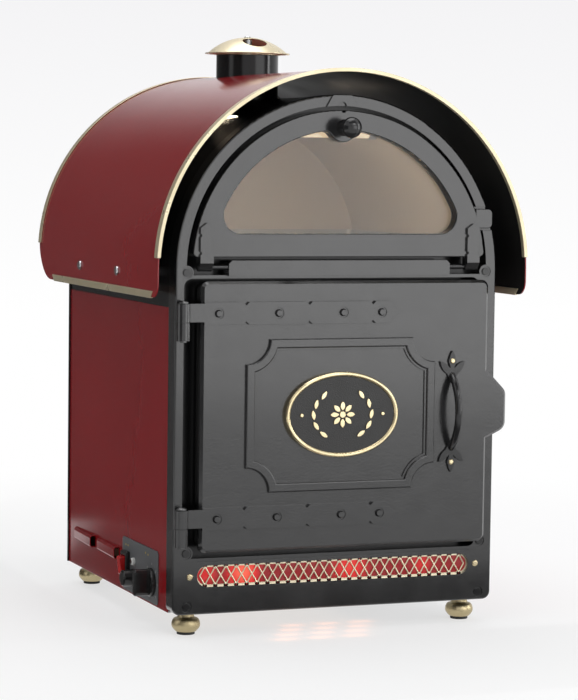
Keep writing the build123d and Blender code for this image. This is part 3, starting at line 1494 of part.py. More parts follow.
# ================================================================ display door
# A round-topped iron frame round a window; the knob's boss dips into the window from the top.
skirt_radius = display_door_radius - display_skirt_wall
with BuildSketch(mode=Mode.PRIVATE) as window_shape:
    arch_outline(window_radius, window_bottom)
    fillet(window_shape.vertices().group_by(Axis.Y)[0], window_corner)
    with Locations((0, knob_z)):
        Circle(knob_boss_radius, mode=Mode.SUBTRACT)
    flare_points = window_shape.vertices().sort_by(Axis.Y)[-2:]
    fillet(flare_points, knob_boss_flare)
strap_foot_z = display_hinge_z - 0.6 * display_knuckle_radius
with BuildPart() as display_door:
    with BuildSketch(facing_front(display_frame_back)) as display_outline:
        arch_outline(display_door_radius, display_door_bottom)
        fillet(display_outline.vertices().group_by(Axis.Y)[0], display_corner)
        box_outline(display_tab_root, display_tab_reach, display_tab_low, display_tab_high)
        fillet(display_outline.vertices().group_by(Axis.X)[-1], display_tab_corner)
        with Locations((0, arch_z + display_door_radius)):
            Circle(door_notch_radius, mode=Mode.SUBTRACT)
        add(window_shape.sketch, mode=Mode.SUBTRACT)
    extrude(amount=display_frame_back + display_door_proud)
    fillet(display_door.faces().sort_by(Axis.Y)[0].edges(), display_frame_round)
    # the grip tab is thinner than the frame
    with BuildSketch(facing_front(display_frame_back)):
        box_outline(
            display_open_radius - display_tab_cut_inset, display_tab_reach + overshoot,
            display_tab_low - overshoot, display_tab_high + overshoot
        )
        with Locations((0, arch_z)):
            Circle(display_door_radius, mode=Mode.SUBTRACT)
    extrude(amount=display_frame_back - display_tab_back, mode=Mode.SUBTRACT)
    # skirt behind the rim
    with BuildSketch(facing_front(display_skirt_back)) as skirt_outline:
        arch_outline(display_door_radius, display_door_bottom)
        fillet(skirt_outline.vertices().group_by(Axis.Y)[0], display_corner)
        arch_outline(skirt_radius, display_door_bottom + display_skirt_wall, Mode.SUBTRACT)
        with Locations((0, arch_z + display_door_radius)):
            Circle(door_notch_radius, mode=Mode.SUBTRACT)
    extrude(amount=display_skirt_back - display_frame_back)
    # hinge straps: pointed at the top, notched twice on each side, with an eye at the foot
    for side in (-1, 1):
        strap_left = side * display_strap_x - display_strap_width / 2
        strap_right = strap_left + display_strap_width
        with BuildSketch(facing_front(overshoot - display_door_proud)):
            with BuildLine():
                Polyline(
                    (strap_left, display_hinge_z + display_knuckle_radius),
                    (strap_right, display_hinge_z + display_knuckle_radius),
                    (strap_right, display_strap_top - display_strap_point),
                    (side * display_strap_x, display_strap_top),
                    (strap_left, display_strap_top - display_strap_point),
                    close=True,
                )
            make_face()
            sides = (strap_left, strap_right)
            with Locations([(x, arch_z + rise) for x in sides for rise in display_strap_notches]):
                Circle(display_strap_notch, mode=Mode.SUBTRACT)
        extrude(amount=display_strap_rise + overshoot)
        with BuildSketch(side_view(strap_left)):
            with BuildLine():
                Polyline(
                    (-display_door_proud - display_strap_rise, display_door_bottom + strap_root_lap),
                    (-display_door_proud - display_strap_rise, display_hinge_z + display_knuckle_radius),
                    (-0.8 * display_knuckle_radius, strap_foot_z),
                    (display_knuckle_radius, display_hinge_z),
                    (display_knuckle_radius, display_door_bottom + strap_root_lap),
                    close=True,
                )
            make_face()
            with Locations((0, display_hinge_z)):
                Circle(display_knuckle_radius)
        extrude(amount=display_strap_width)
        with BuildSketch(side_view(strap_left)):
            with Locations((0, display_hinge_z)):
                Circle(display_pin_radius + running_clearance)
        extrude(amount=display_strap_width, mode=Mode.SUBTRACT)
    # tapped hole for the knob's stud
    with BuildSketch(facing_front(display_frame_back)):
        with Locations((0, knob_z)):
            Circle(knob_stud_radius)
    extrude(amount=display_frame_back + display_door_proud, mode=Mode.SUBTRACT)
save(display_door, "display_door")

glass_front = display_frame_back
with BuildPart() as display_glass:
    with BuildSketch(facing_front(glass_front + glass_thickness)) as glass_outline:
        arch_outline(window_radius + glass_margin, window_bottom - glass_margin)
        fillet(glass_outline.vertices().group_by(Axis.Y)[0], window_corner)
    extrude(amount=glass_thickness)
save(display_glass, "display_glass")

retainer_front = glass_front + glass_thickness
with BuildPart() as glass_retainer:
    with BuildSketch(facing_front(retainer_front + retainer_thickness)) as retainer_outline:
        arch_outline(skirt_radius - retainer_edge_gap, window_bottom - glass_margin - retainer_lap)
        fillet(retainer_outline.vertices().group_by(Axis.Y)[0], retainer_corner)
        add(window_shape.sketch, mode=Mode.SUBTRACT)
    extrude(amount=retainer_thickness)
    with BuildSketch(facing_front(retainer_front)):
        with Locations((0, arch_z)):
            with Locations(*[Location((0, 0), angle) for angle in retainer_post_angles]):
                with Locations((skirt_radius - retainer_post_inset, 0)):
                    Circle(retainer_post_radius)
    extrude(amount=glass_thickness)
save(glass_retainer, "glass_retainer")

# ================================================================ inside of the display
# Lining: an arched duct from the display opening to a back wall, with a flange behind the casting.
with BuildPart() as display_lining:
    with BuildSketch(facing_front(lining_back)):
        arch_outline(lining_radius, deck_z)
    extrude(amount=lining_back - plate_depth)
    with BuildSketch(facing_front(lining_back - liner_wall)):
        arch_outline(lining_radius - liner_wall, deck_z + liner_wall)
    extrude(amount=lining_back, mode=Mode.SUBTRACT)
    with BuildSketch(facing_front(plate_depth + liner_wall)):
        arch_outline(casing_inside - lining_flange_gap, lining_flange_bottom)
        arch_outline(lining_radius - liner_wall, deck_z + liner_wall, Mode.SUBTRACT)
        with Locations([(side * plate_bolts_at[0][0], plate_bolts_at[0][1]) for side in (-1, 1)]):
            Circle(plate_bolt_radius + fit_gap, mode=Mode.SUBTRACT)
    extrude(amount=liner_wall)
    with BuildSketch(level(arch_z)):
        with Locations((0, chimney_back)):
            Circle(chimney_radius + fit_gap)
    extrude(amount=half_width, mode=Mode.SUBTRACT)
save(display_lining, "display_lining")

# Tray on the deck of the display, rolled up at its edges.
tray_half_width = lining_radius - liner_wall - tray_side_gap
with BuildPart() as display_tray:
    with BuildSketch(level(deck_z + liner_wall)) as tray_outline:
        box_outline(-tray_half_width, tray_half_width, tray_front, lining_back - tray_side_gap)
        fillet(tray_outline.vertices(), tray_corner)
    extrude(amount=tray_height)
    tray_mouth = display_tray.faces().sort_by(Axis.Z)[-1]
    offset(amount=-tray_wall, openings=tray_mouth)
save(display_tray, "display_tray")

# Display lamp: a short tube lamp under the crown of the lining, in two hanging holders.
with BuildPart() as display_lamp:
    with BuildSketch(side_view(-display_lamp_length / 2)):
        with Locations((display_lamp_back, display_lamp_z)):
            Circle(display_lamp_radius)
    extrude(amount=display_lamp_length)
save(display_lamp, "display_lamp")

holder_half = display_lamp_radius + display_holder_wall
holder_outer_x = display_lamp_length / 2 + holder_depth
holder_top = arch_z + sqrt((lining_radius - liner_wall) ** 2 - holder_outer_x**2) - fit_gap
with BuildPart() as display_lamp_holders:
    for side in (-1, 1):
        with BuildSketch(side_view(side * display_lamp_length / 2)):
            box_outline(
                display_lamp_back - holder_half,
                display_lamp_back + holder_half,
                display_lamp_z - holder_half,
                holder_top
            )
        extrude(amount=side * holder_depth)
save(display_lamp_holders, "display_lamp_holders")

# ================================================================ inside of the oven
with BuildPart() as oven_liner:
    with BuildSketch(facing_front(liner_back)):
        box_outline(-liner_half_width, liner_half_width, liner_floor, liner_roof)
    extrude(amount=liner_back - plate_depth)
    with BuildSketch(facing_front(liner_back - liner_wall)):
        box_outline(
            liner_wall - liner_half_width, liner_half_width - liner_wall,
            liner_floor + liner_wall, liner_roof - liner_wall
        )
    extrude(amount=liner_back, mode=Mode.SUBTRACT)
    with BuildSketch(facing_front(plate_depth + liner_wall)):
        box_outline(
            -liner_flange_half_width, liner_flange_half_width, liner_flange_bottom, liner_flange_top
        )
        box_outline(
            liner_wall - liner_half_width, liner_half_width - liner_wall,
            liner_floor + liner_wall, liner_roof - liner_wall, Mode.SUBTRACT
        )
        with Locations([(side * plate_bolts_at[1][0], plate_bolts_at[1][1]) for side in (-1, 1)]):
            Circle(plate_bolt_radius + fit_gap, mode=Mode.SUBTRACT)
    extrude(amount=liner_wall)
    with BuildSketch(facing_front(liner_back)):
        with Locations(element_ends):
            Circle(element_radius + fit_gap)
    extrude(amount=liner_wall, mode=Mode.SUBTRACT)
save(oven_liner, "oven_liner")

blanket_inner = liner_half_width + insulation_gap
blanket_outer = blanket_inner + insulation_thickness
blanket_low = liner_floor - insulation_gap - insulation_thickness
blanket_high = liner_roof + insulation_gap + insulation_thickness
blanket_front = plate_depth + liner_wall + insulation_gap
blanket_back = liner_back + insulation_gap + insulation_thickness
with BuildPart() as insulation:
    with BuildSketch(facing_front(blanket_back)):
        box_outline(-blanket_outer, blanket_outer, blanket_low, blanket_high)
    extrude(amount=blanket_back - blanket_front)
    with BuildSketch(facing_front(liner_back + insulation_gap)):
        box_outline(-blanket_inner, blanket_inner, liner_floor - insulation_gap, liner_roof + insulation_gap)
    extrude(amount=liner_back, mode=Mode.SUBTRACT)
    with BuildSketch(facing_front(blanket_back)):
        with Locations(element_ends):
            Circle(element_radius + element_hole_gap)
    extrude(amount=insulation_thickness, mode=Mode.SUBTRACT)
save(insulation, "insulation")

# Rack runners: four angle strips on the side walls.
runner_outer = liner_half_width - liner_wall
with BuildPart() as rack_runners:
    for side in (-1, 1):
        with BuildSketch(facing_front(runner_front + runner_length)):
            for height in rack_levels:
                with Locations((side * (runner_outer - runner_wall / 2), height - runner_height / 2)):
                    Rectangle(runner_wall, runner_height)
                with Locations((side * (runner_outer - runner_height / 2), height - runner_wall / 2)):
                    Rectangle(runner_height, runner_wall)
        extrude(amount=runner_length)
save(rack_runners, "rack_runners")


def wire_rack(height):
    """Wire rack: a rim rod bent round a rectangle, long wires on top of it and a cross wire under them."""
    half = runner_outer - rack_side_gap - rack_rim_radius
    front = runner_front + rack_rim_radius
    middle = height + rack_rim_radius
    with BuildPart() as rack:
        with BuildLine(level(middle)) as rim_path:
            FilletPolyline(
                (-half, front), (half, front), (half, front + rack_depth), (-half, front + rack_depth),
                radius=rack_corner, close=True
            )
        with BuildSketch(Plane(origin=rim_path.wire() @ 0, z_dir=rim_path.wire() % 0)):
            Circle(rack_rim_radius)
        sweep()
        with BuildSketch(facing_front(front + rack_depth)):
            with Locations((0, middle)):
                with GridLocations(2 * half / (rack_wire_count + 1), 1, rack_wire_count, 1):
                    Circle(rack_wire_radius)
        extrude(amount=rack_depth)
        with BuildSketch(side_view(-half)):
            with Locations((front + rack_depth / 2, middle)):
                Circle(rack_wire_radius)
        extrude(amount=2 * half)
    return rack


wire_rack_lower = wire_rack(rack_levels[0])
save(wire_rack_lower, "wire_rack_lower")
wire_rack_upper = wire_rack(rack_levels[1])
save(wire_rack_upper, "wire_rack_upper")

# Heating elements: one hairpin over the floor and one under the roof, both led out through the back.
with BuildPart() as oven_elements:
    for height in element_levels:
        with BuildLine(level(height)):
            FilletPolyline(
                (-element_half_width, element_tail), (-element_half_width, element_front),
                (element_half_width, element_front), (element_half_width, element_tail), radius=element_bend
            )
        with BuildSketch(facing_front(element_tail)):
            with Locations((-element_half_width, height)):
                Circle(element_radius)
        sweep()
save(oven_elements, "oven_elements")

# ================================================================ controls on the left side
plate_face_x = -casing_half - control_thickness
with BuildPart() as control_plate:
    with BuildSketch(side_view(plate_face_x)) as control_outline:
        box_outline(control_front, control_rear, control_low, control_high)
        fillet(control_outline.vertices(), control_corner)
        with Locations((thermostat_y, thermostat_z), (timer_y, timer_z)):
            Circle(bush_radius, mode=Mode.SUBTRACT)
        with Locations((indicator_y, indicator_z)):
            Circle(indicator_body_radius, mode=Mode.SUBTRACT)
        with Locations((switch_y, switch_z)):
            Rectangle(switch_width - 2 * switch_rim, switch_height - 2 * switch_rim, mode=Mode.SUBTRACT)
    extrude(amount=control_thickness)
save(control_plate, "control_plate")


def control_unit(y, z, body_size, body_depth_x):
    """Switch body behind the control plate, with the bush that its spindle turns in."""
    with BuildPart() as unit:
        with BuildSketch(side_view(control_body_x)) as unit_outline:
            with Locations((y, z)):
                Rectangle(body_size, body_size)
                fillet(unit_outline.vertices(), control_body_corner)
        extrude(amount=body_depth_x)
        with BuildSketch(side_view(plate_face_x)):
            with Locations((y, z)):
                Circle(bush_radius)
        extrude(amount=control_body_x - plate_face_x)
        with BuildSketch(side_view(plate_face_x)):
            with Locations((y, z)):
                Circle(shaft_radius + running_clearance)
        extrude(amount=control_body_x - plate_face_x + shaft_depth, mode=Mode.SUBTRACT)
    return unit


thermostat_body = control_unit(thermostat_y, thermostat_z, thermostat_body_size, thermostat_body_depth)
save(thermostat_body, "thermostat_body")
timer_body = control_unit(timer_y, timer_z, timer_body_size, timer_body_depth)
save(timer_body, "timer_body")

# Thermostat knob: a skirt with a grip bar across it, on its own spindle.
knob_back_x = plate_face_x - knob_gap
with BuildPart() as thermostat_knob:
    with BuildSketch(side_view(knob_back_x)):
        with Locations((thermostat_y, thermostat_z)):
            Circle(thermostat_knob_radius)
    extrude(amount=-thermostat_knob_skirt)
    chamfer(thermostat_knob.faces().sort_by(Axis.X)[0].edges(), knob_edge)
    with BuildSketch(side_view(knob_back_x - thermostat_knob_skirt)):
        with Locations((thermostat_y, thermostat_z)):
            SlotOverall(
                2 * (thermostat_knob_radius - thermostat_grip_inset), thermostat_grip_width, rotation=90
            )
    extrude(amount=thermostat_knob_skirt - thermostat_knob_length)
    chamfer(thermostat_knob.faces().sort_by(Axis.X)[0].edges(), knob_edge)
    with BuildSketch(side_view(knob_back_x)):
        with Locations((thermostat_y, thermostat_z)):
            Circle(shaft_radius)
    extrude(amount=control_body_x - knob_back_x + shaft_depth - shaft_end_gap)
save(thermostat_knob, "thermostat_knob")

with BuildPart() as timer_knob:
    with BuildSketch(side_view(knob_back_x)):
        with Locations((timer_y, timer_z)):
            Circle(timer_knob_radius)
    extrude(amount=-timer_knob_length, taper=timer_knob_taper)
    chamfer(timer_knob.faces().sort_by(Axis.X)[0].edges(), knob_edge)
    with BuildSketch(side_view(knob_back_x - timer_knob_length)):
        with Locations((timer_y, timer_z)):
            Rectangle(timer_mark_width, 1.4 * timer_knob_radius)
    extrude(amount=timer_mark_rise)
    with BuildSketch(side_view(knob_back_x)):
        with Locations((timer_y, timer_z)):
            Circle(shaft_radius)
    extrude(amount=control_body_x - knob_back_x + shaft_depth - shaft_end_gap)
save(timer_knob, "timer_knob")

# Rocker switch: a bezel with a deep well, and a rocker that pivots in it.
well_half_width = rocker_width / 2 + rocker_clearance
well_half_height = rocker_height / 2 + rocker_clearance
with BuildPart() as switch_bezel:
    with BuildSketch(side_view(plate_face_x)) as bezel_outline:
        with Locations((switch_y, switch_z)):
            Rectangle(switch_width, switch_height)
        fillet(bezel_outline.vertices(), switch_corner)
    extrude(amount=-switch_rise)
    chamfer(switch_bezel.faces().sort_by(Axis.X)[0].edges(), switch_edge)
    with BuildSketch(side_view(plate_face_x)):
        with Locations((switch_y, switch_z)):
            Rectangle(switch_width - 2 * (switch_rim + fit_gap), switch_height - 2 * (switch_rim + fit_gap))
    extrude(amount=switch_depth)
    with BuildSketch(side_view(plate_face_x - switch_rise)):
        with Locations((switch_y, switch_z)):
            Rectangle(2 * well_half_width, 2 * well_half_height)
    extrude(amount=switch_rise + switch_depth - well_floor, mode=Mode.SUBTRACT)
save(switch_bezel, "switch_bezel")

pivot_x = plate_face_x - switch_rise + rocker_sink
rocker_lean = radians(rocker_tilt)
rocker_plane = Plane(
    origin=(pivot_x, face_y + switch_y, switch_z),
    x_dir=(0, 1, 0),
    z_dir=(cos(rocker_lean), 0, sin(rocker_lean)),
)
with BuildPart() as switch_rocker:
    with BuildSketch(rocker_plane.offset(-rocker_sink - rocker_rise)):
        Rectangle(rocker_width, rocker_height)
    extrude(amount=rocker_sink + rocker_rise + rocker_root)
    fillet(switch_rocker.edges().filter_by(Axis.Y), rocker_edge)
save(switch_rocker, "switch_rocker")

with BuildPart() as indicator_lamp:
    with BuildSketch(side_view(plate_face_x)):
        with Locations((indicator_y, indicator_z)):
            Circle(indicator_radius)
    extrude(amount=-indicator_rise)
    fillet(indicator_lamp.faces().sort_by(Axis.X)[0].edges(), indicator_edge)
    with BuildSketch(side_view(plate_face_x)):
        with Locations((indicator_y, indicator_z)):
            Circle(indicator_body_radius - fit_gap)
    extrude(amount=indicator_depth)
save(indicator_lamp, "indicator_lamp")

# ================================================================ display knob and hinge pins
with BuildPart() as display_knob:
    with BuildSketch(Plane.XZ):
        with BuildLine():
            Polyline((0, 0), (knob_foot_radius, 0), (knob_foot_radius, knob_foot_height))
            ThreePointArc(
                (knob_foot_radius, knob_foot_height),
                (knob_neck_radius, 0.36 * knob_length),
                (0.9 * knob_head_radius, 0.62 * knob_length),
            )
            ThreePointArc(
                (0.9 * knob_head_radius, 0.62 * knob_length),
                (knob_head_radius, 0.74 * knob_length),
                (0.8 * knob_head_radius, 0.87 * knob_length),
            )
            TangentArc((0, knob_length), (0.8 * knob_head_radius, 0.87 * knob_length), tangent=(1, 0))
            Line((0, knob_length), (0, 0))
        make_face()
    revolve(axis=Axis.Z)
    with BuildSketch():
        Circle(knob_stud_radius)
    extrude(amount=-(display_door_proud + display_frame_back - knob_stud_gap))
knob_turned = display_knob.part
with BuildPart() as display_knob:
    with Locations(facing_front(-display_door_proud)):
        with Locations((0, knob_z, 0)):
            add(knob_turned)
save(display_knob, "display_knob")

# Steel pins pressed into the ends of the fixed bar; the straps of the display door swing on them.
pin_outer_x = display_strap_x + display_strap_width / 2 + pin_end_proud
with BuildPart() as display_hinge_pins:
    for side in (-1, 1):
        with BuildSketch(side_view(side * (hinge_bar_half_length - pin_bury))):
            with Locations((0, display_hinge_z)):
                Circle(display_pin_radius)
        extrude(amount=side * (pin_outer_x - hinge_bar_half_length + pin_bury))
save(display_hinge_pins, "display_hinge_pins")
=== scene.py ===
"""Looks of the counter-top baked potato oven: black castings, red enamelled sheet, brass trim and a lit window."""

import json
from math import cos, radians, sin

import bmesh
import bpy
from mathutils import Matrix, Vector


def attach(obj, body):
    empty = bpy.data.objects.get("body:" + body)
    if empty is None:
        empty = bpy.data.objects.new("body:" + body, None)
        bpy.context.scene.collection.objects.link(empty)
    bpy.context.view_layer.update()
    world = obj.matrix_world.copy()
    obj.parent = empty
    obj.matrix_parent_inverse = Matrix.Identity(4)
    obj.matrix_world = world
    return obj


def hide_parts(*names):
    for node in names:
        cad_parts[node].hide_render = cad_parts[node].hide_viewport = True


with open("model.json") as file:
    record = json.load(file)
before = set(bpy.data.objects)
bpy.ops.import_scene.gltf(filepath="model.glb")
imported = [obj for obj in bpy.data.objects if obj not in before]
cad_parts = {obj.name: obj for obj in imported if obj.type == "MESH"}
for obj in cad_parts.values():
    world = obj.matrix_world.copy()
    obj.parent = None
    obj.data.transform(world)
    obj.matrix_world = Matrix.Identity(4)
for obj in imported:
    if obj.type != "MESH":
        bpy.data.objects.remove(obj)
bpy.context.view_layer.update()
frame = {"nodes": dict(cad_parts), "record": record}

# ---------------------------------------------------------------- camera
# A long lens stands low at the left of the front, turned 21 degrees to it and a little down.
lens_data = bpy.data.cameras.new("photo_camera")
lens_data.sensor_fit = "VERTICAL"
lens_data.sensor_height = 36.0
lens_data.lens = 133.44
camera = bpy.data.objects.new("photo_camera", lens_data)
bpy.context.scene.collection.objects.link(camera)
turn = Matrix.Rotation(radians(-21.33), 4, "Z")
tilt = Matrix.Rotation(radians(90 - 4.31), 4, "X")
roll = Matrix.Rotation(radians(0.75), 4, "Z")
camera.matrix_world = Matrix.Translation((-1.1996, -3.1288, 0.580)) @ turn @ tilt @ roll
bpy.context.scene.camera = camera
bpy.context.scene.view_settings.view_transform = "Standard"

# ---------------------------------------------------------------- studio room
# A white room whose far wall greys a touch overhead; its plain soft light falls from all round.
world = bpy.data.worlds.new("white_room")
world.use_nodes = True
bpy.context.scene.world = world
room = world.node_tree
room.nodes.clear()
direction = room.nodes.new("ShaderNodeTexCoord")
upward = room.nodes.new("ShaderNodeSeparateXYZ")
room.links.new(direction.outputs["Generated"], upward.inputs[0])
wall_tone = room.nodes.new("ShaderNodeValToRGB")
wall_tone.color_ramp.elements[0].position = 0.47
wall_tone.color_ramp.elements[0].color = (1, 1, 1, 1)
wall_tone.color_ramp.elements[1].position = 0.54
wall_tone.color_ramp.elements[1].color = (0.89, 0.885, 0.90, 1)
half = room.nodes.new("ShaderNodeMapRange")
half.inputs["From Min"].default_value = -1.0
room.links.new(upward.outputs["Z"], half.inputs["Value"])
room.links.new(half.outputs["Result"], wall_tone.inputs["Fac"])
seen = room.nodes.new("ShaderNodeBackground")
room.links.new(wall_tone.outputs["Color"], seen.inputs["Color"])
shed = room.nodes.new("ShaderNodeBackground")
shed.inputs["Color"].default_value = (0.98, 0.985, 1, 1)
shed.inputs["Strength"].default_value = 0.40
path = room.nodes.new("ShaderNodeLightPath")
straight = room.nodes.new("ShaderNodeMath")
straight.operation = "MAXIMUM"
room.links.new(path.outputs["Is Camera Ray"], straight.inputs[0])
room.links.new(path.outputs["Is Transmission Ray"], straight.inputs[1])
either = room.nodes.new("ShaderNodeMath")
either.operation = "MAXIMUM"
room.links.new(straight.outputs[0], either.inputs[0])
room.links.new(path.outputs["Is Glossy Ray"], either.inputs[1])
mix = room.nodes.new("ShaderNodeMixShader")
room.links.new(either.outputs[0], mix.inputs["Fac"])
room.links.new(shed.outputs[0], mix.inputs[1])
room.links.new(seen.outputs[0], mix.inputs[2])
out = room.nodes.new("ShaderNodeOutputWorld")
room.links.new(mix.outputs[0], out.inputs["Surface"])

# ---------------------------------------------------------------- studio lamps
# Three broad lamps stand in front, above and at the left; small warm ones glow under the base.


def soft_lamp(name, place, aim, width, height, power, color=(1, 1, 1)):
    """A rectangular studio lamp at a place, turned to face its aim."""
    data = bpy.data.lights.new(name, "AREA")
    data.shape = "RECTANGLE"
    data.size = width
    data.size_y = height
    data.energy = power
    data.color = color
    lamp = bpy.data.objects.new(name, data)
    lamp.rotation_euler = (Vector(aim) - Vector(place)).to_track_quat("-Z", "Y").to_euler()
    lamp.location = place
    lamp.visible_camera = False
    lamp.visible_transmission = False
    bpy.context.scene.collection.objects.link(lamp)
    return lamp


soft_lamp("front_lamp", (0.9, -2.6, 2.0), (0, 0, 0.35), 1.4, 1.0, 16)
soft_lamp("door_lamp", (1.45, -2.65, 0.70), (0, 0, 0.35), 1.9, 1.5, 14)
soft_lamp("edge_lamp", (2.3, -0.9, 0.9), (0, -0.2, 0.35), 0.35, 1.5, 10)
soft_lamp("top_lamp", (-0.1, 0.2, 2.6), (0, 0, 0.3), 2.0, 2.0, 36)
soft_lamp("side_lamp", (-2.6, -0.6, 1.6), (0, 0, 0.35), 1.2, 1.6, 5)
for row in range(4):
    for column in range(3):
        spot = (-0.080 + 0.045 * column + 0.014 * row, -0.262 + 0.028 * row, 0.009)
        soft_lamp(f"base_glow_{row}{column}", spot, (*spot[:2], 0), 0.026, 0.006, 0.0016, (1, 0.30, 0.07))
soft_lamp("base_warmth", (-0.06, -0.02, 0.024), (-0.06, -0.02, 0), 0.22, 0.30, 0.030, (1, 0.62, 0.30))

# ---------------------------------------------------------------- studio floor
# White paper under the oven, which runs out into the white of the room, and two dark felts at the
# left that only polished surfaces show.
bm = bmesh.new()
bmesh.ops.create_grid(bm, x_segments=1, y_segments=1, size=6.0)
floor_mesh = bpy.data.meshes.new("floor")
bm.to_mesh(floor_mesh)
bm.free()
floor = bpy.data.objects.new("floor", floor_mesh)
bpy.context.scene.collection.objects.link(floor)
paper = bpy.data.materials.new("white_paper")
paper.use_nodes = True
tree = paper.node_tree
sheet = tree.nodes["Principled BSDF"]
sheet.inputs["Base Color"].default_value = (0.96, 0.96, 0.965, 1)
sheet.inputs["Roughness"].default_value = 0.55
place = tree.nodes.new("ShaderNodeTexCoord")
reach = tree.nodes.new("ShaderNodeVectorMath")
reach.operation = "LENGTH"
tree.links.new(place.outputs["Object"], reach.inputs[0])
away = tree.nodes.new("ShaderNodeMapRange")
away.interpolation_type = "SMOOTHSTEP"
away.inputs["From Min"].default_value = 0.45
away.inputs["From Max"].default_value = 1.5
away.inputs["To Min"].default_value = 0.60
away.inputs["To Max"].default_value = 1.0
tree.links.new(reach.outputs["Value"], away.inputs["Value"])
path = tree.nodes.new("ShaderNodeLightPath")
shown = tree.nodes.new("ShaderNodeMath")
shown.operation = "MAXIMUM"
tree.links.new(path.outputs["Is Camera Ray"], shown.inputs[0])
tree.links.new(path.outputs["Is Glossy Ray"], shown.inputs[1])
amount = tree.nodes.new("ShaderNodeMath")
amount.operation = "MULTIPLY"
tree.links.new(away.outputs["Result"], amount.inputs[0])
tree.links.new(shown.outputs[0], amount.inputs[1])
white = tree.nodes.new("ShaderNodeEmission")
white.inputs["Color"].default_value = (1, 1, 1, 1)
white.inputs["Strength"].default_value = 1.0
blend = tree.nodes.new("ShaderNodeMixShader")
tree.links.new(amount.outputs[0], blend.inputs["Fac"])
tree.links.new(sheet.outputs[0], blend.inputs[1])
tree.links.new(white.outputs[0], blend.inputs[2])
tree.links.new(blend.outputs[0], tree.nodes["Material Output"].inputs["Surface"])
floor_mesh.materials.append(paper)

felt_cloth = bpy.data.materials.new("dark_felt")
felt_cloth.use_nodes = True
tree = felt_cloth.node_tree
nap = tree.nodes.new("ShaderNodeTexNoise")
nap.inputs["Scale"].default_value = 3.0
nap_tone = tree.nodes.new("ShaderNodeValToRGB")
nap_tone.color_ramp.elements[0].color = (0.05, 0.05, 0.05, 1)
nap_tone.color_ramp.elements[1].color = (0.17, 0.165, 0.16, 1)
tree.links.new(nap.outputs["Fac"], nap_tone.inputs["Fac"])
across = tree.nodes.new("ShaderNodeTexCoord")
part = tree.nodes.new("ShaderNodeSeparateXYZ")
tree.links.new(across.outputs["Object"], part.inputs[0])
fading = tree.nodes.new("ShaderNodeMapRange")
fading.interpolation_type = "SMOOTHSTEP"
fading.inputs["From Min"].default_value = 0.80
fading.inputs["From Max"].default_value = 1.40
tree.links.new(part.outputs["Y"], fading.inputs["Value"])
paler = tree.nodes.new("ShaderNodeMix")
paler.data_type = "RGBA"
tree.links.new(fading.outputs["Result"], paler.inputs["Factor"])
tree.links.new(nap_tone.outputs["Color"], paler.inputs["A"])
paler.inputs["B"].default_value = (0.85, 0.85, 0.85, 1)
tree.links.new(paler.outputs["Result"], tree.nodes["Principled BSDF"].inputs["Base Color"])
tree.nodes["Principled BSDF"].inputs["Roughness"].default_value = 0.9
for name, stands, height in (
    ("rear_felt", ((0.40, 1.45), (-0.40, 0.75), (-0.78, 0.10)), 1.28),
    ("left_felt", ((-1.55, -0.35), (-1.75, -2.10)), 1.30),
    ("right_felt", ((2.45, -1.95), (2.55, -1.35)), 1.60),
):
    bm = bmesh.new()
    feet = [bm.verts.new((x, y, 0.001)) for x, y in stands]
    runs = [bm.edges.new(pair) for pair in zip(feet, feet[1:])]
    raised = bmesh.ops.extrude_edge_only(bm, edges=runs)["geom"]
    bmesh.ops.translate(bm, verts=[v for v in raised if isinstance(v, bmesh.types.BMVert)], vec=(0, 0, height))
    mesh = bpy.data.meshes.new(name)
    bm.to_mesh(mesh)
    bm.free()
    felt = bpy.data.objects.new(name, mesh)
    bpy.context.scene.collection.objects.link(felt)
    felt.visible_camera = False
    felt.visible_diffuse = False
    felt.visible_shadow = False
    felt.visible_transmission = False
    mesh.materials.append(felt_cloth)

for name, corners in (
    ("laid_felt", ((-0.25, -0.34, 0.0006), (-0.25, 0.40, 0.0006), (-0.40, 0.75, 0.0006), (-0.78, 0.10, 0.0006), (-0.72, -0.34, 0.0006))),
    ("front_felt", ((-0.7, -0.62, 0.0007), (0.7, -0.62, 0.0007), (0.7, -0.27, 0.0007), (-0.7, -0.27, 0.0007))),
    ("low_header_felt", ((-1.0, -2.9, 1.50), (3.2, -2.0, 1.50), (3.2, -2.0, 1.82), (-1.0, -2.9, 1.82))),
    ("high_header_felt", ((-1.4, -2.2, 2.45), (2.2, -2.0, 2.45), (1.8, -1.1, 2.75), (-1.2, -1.1, 2.75))),
):
    bm = bmesh.new()
    bm.faces.new([bm.verts.new(corner) for corner in corners])
    mesh = bpy.data.meshes.new(name)
    bm.to_mesh(mesh)
    bm.free()
    felt = bpy.data.objects.new(name, mesh)
    bpy.context.scene.collection.objects.link(felt)
    felt.visible_camera = False
    felt.visible_diffuse = False
    felt.visible_shadow = False
    felt.visible_transmission = False
    mesh.materials.append(felt_cloth)

# ---------------------------------------------------------------- surface variation
# Every finish drifts a little in colour, sheen and level, from one group that each material sets for itself.
variation = bpy.data.node_groups.new("surface variation", "ShaderNodeTree")
for socket, kind, start in (
    ("Main Colour", "NodeSocketColor", (0.5, 0.5, 0.5, 1)),
    ("Drift Colour", "NodeSocketColor", (0.4, 0.4, 0.4, 1)),
    ("Blotch Scale", "NodeSocketFloat", 12.0),
    ("Grain Scale", "NodeSocketFloat", 400.0),
    ("Least Roughness", "NodeSocketFloat", 0.3),
    ("Most Roughness", "NodeSocketFloat", 0.4),
    ("Grain Relief", "NodeSocketFloat", 0.1),
    ("Grain Depth", "NodeSocketFloat", 0.0002),
    ("Wave Relief", "NodeSocketFloat", 0.1),
    ("Wave Depth", "NodeSocketFloat", 0.0004),
    ("Edge Radius", "NodeSocketFloat", 0.0004),
):
    made = variation.interface.new_socket(name=socket, in_out="INPUT", socket_type=kind)
    made.default_value = start
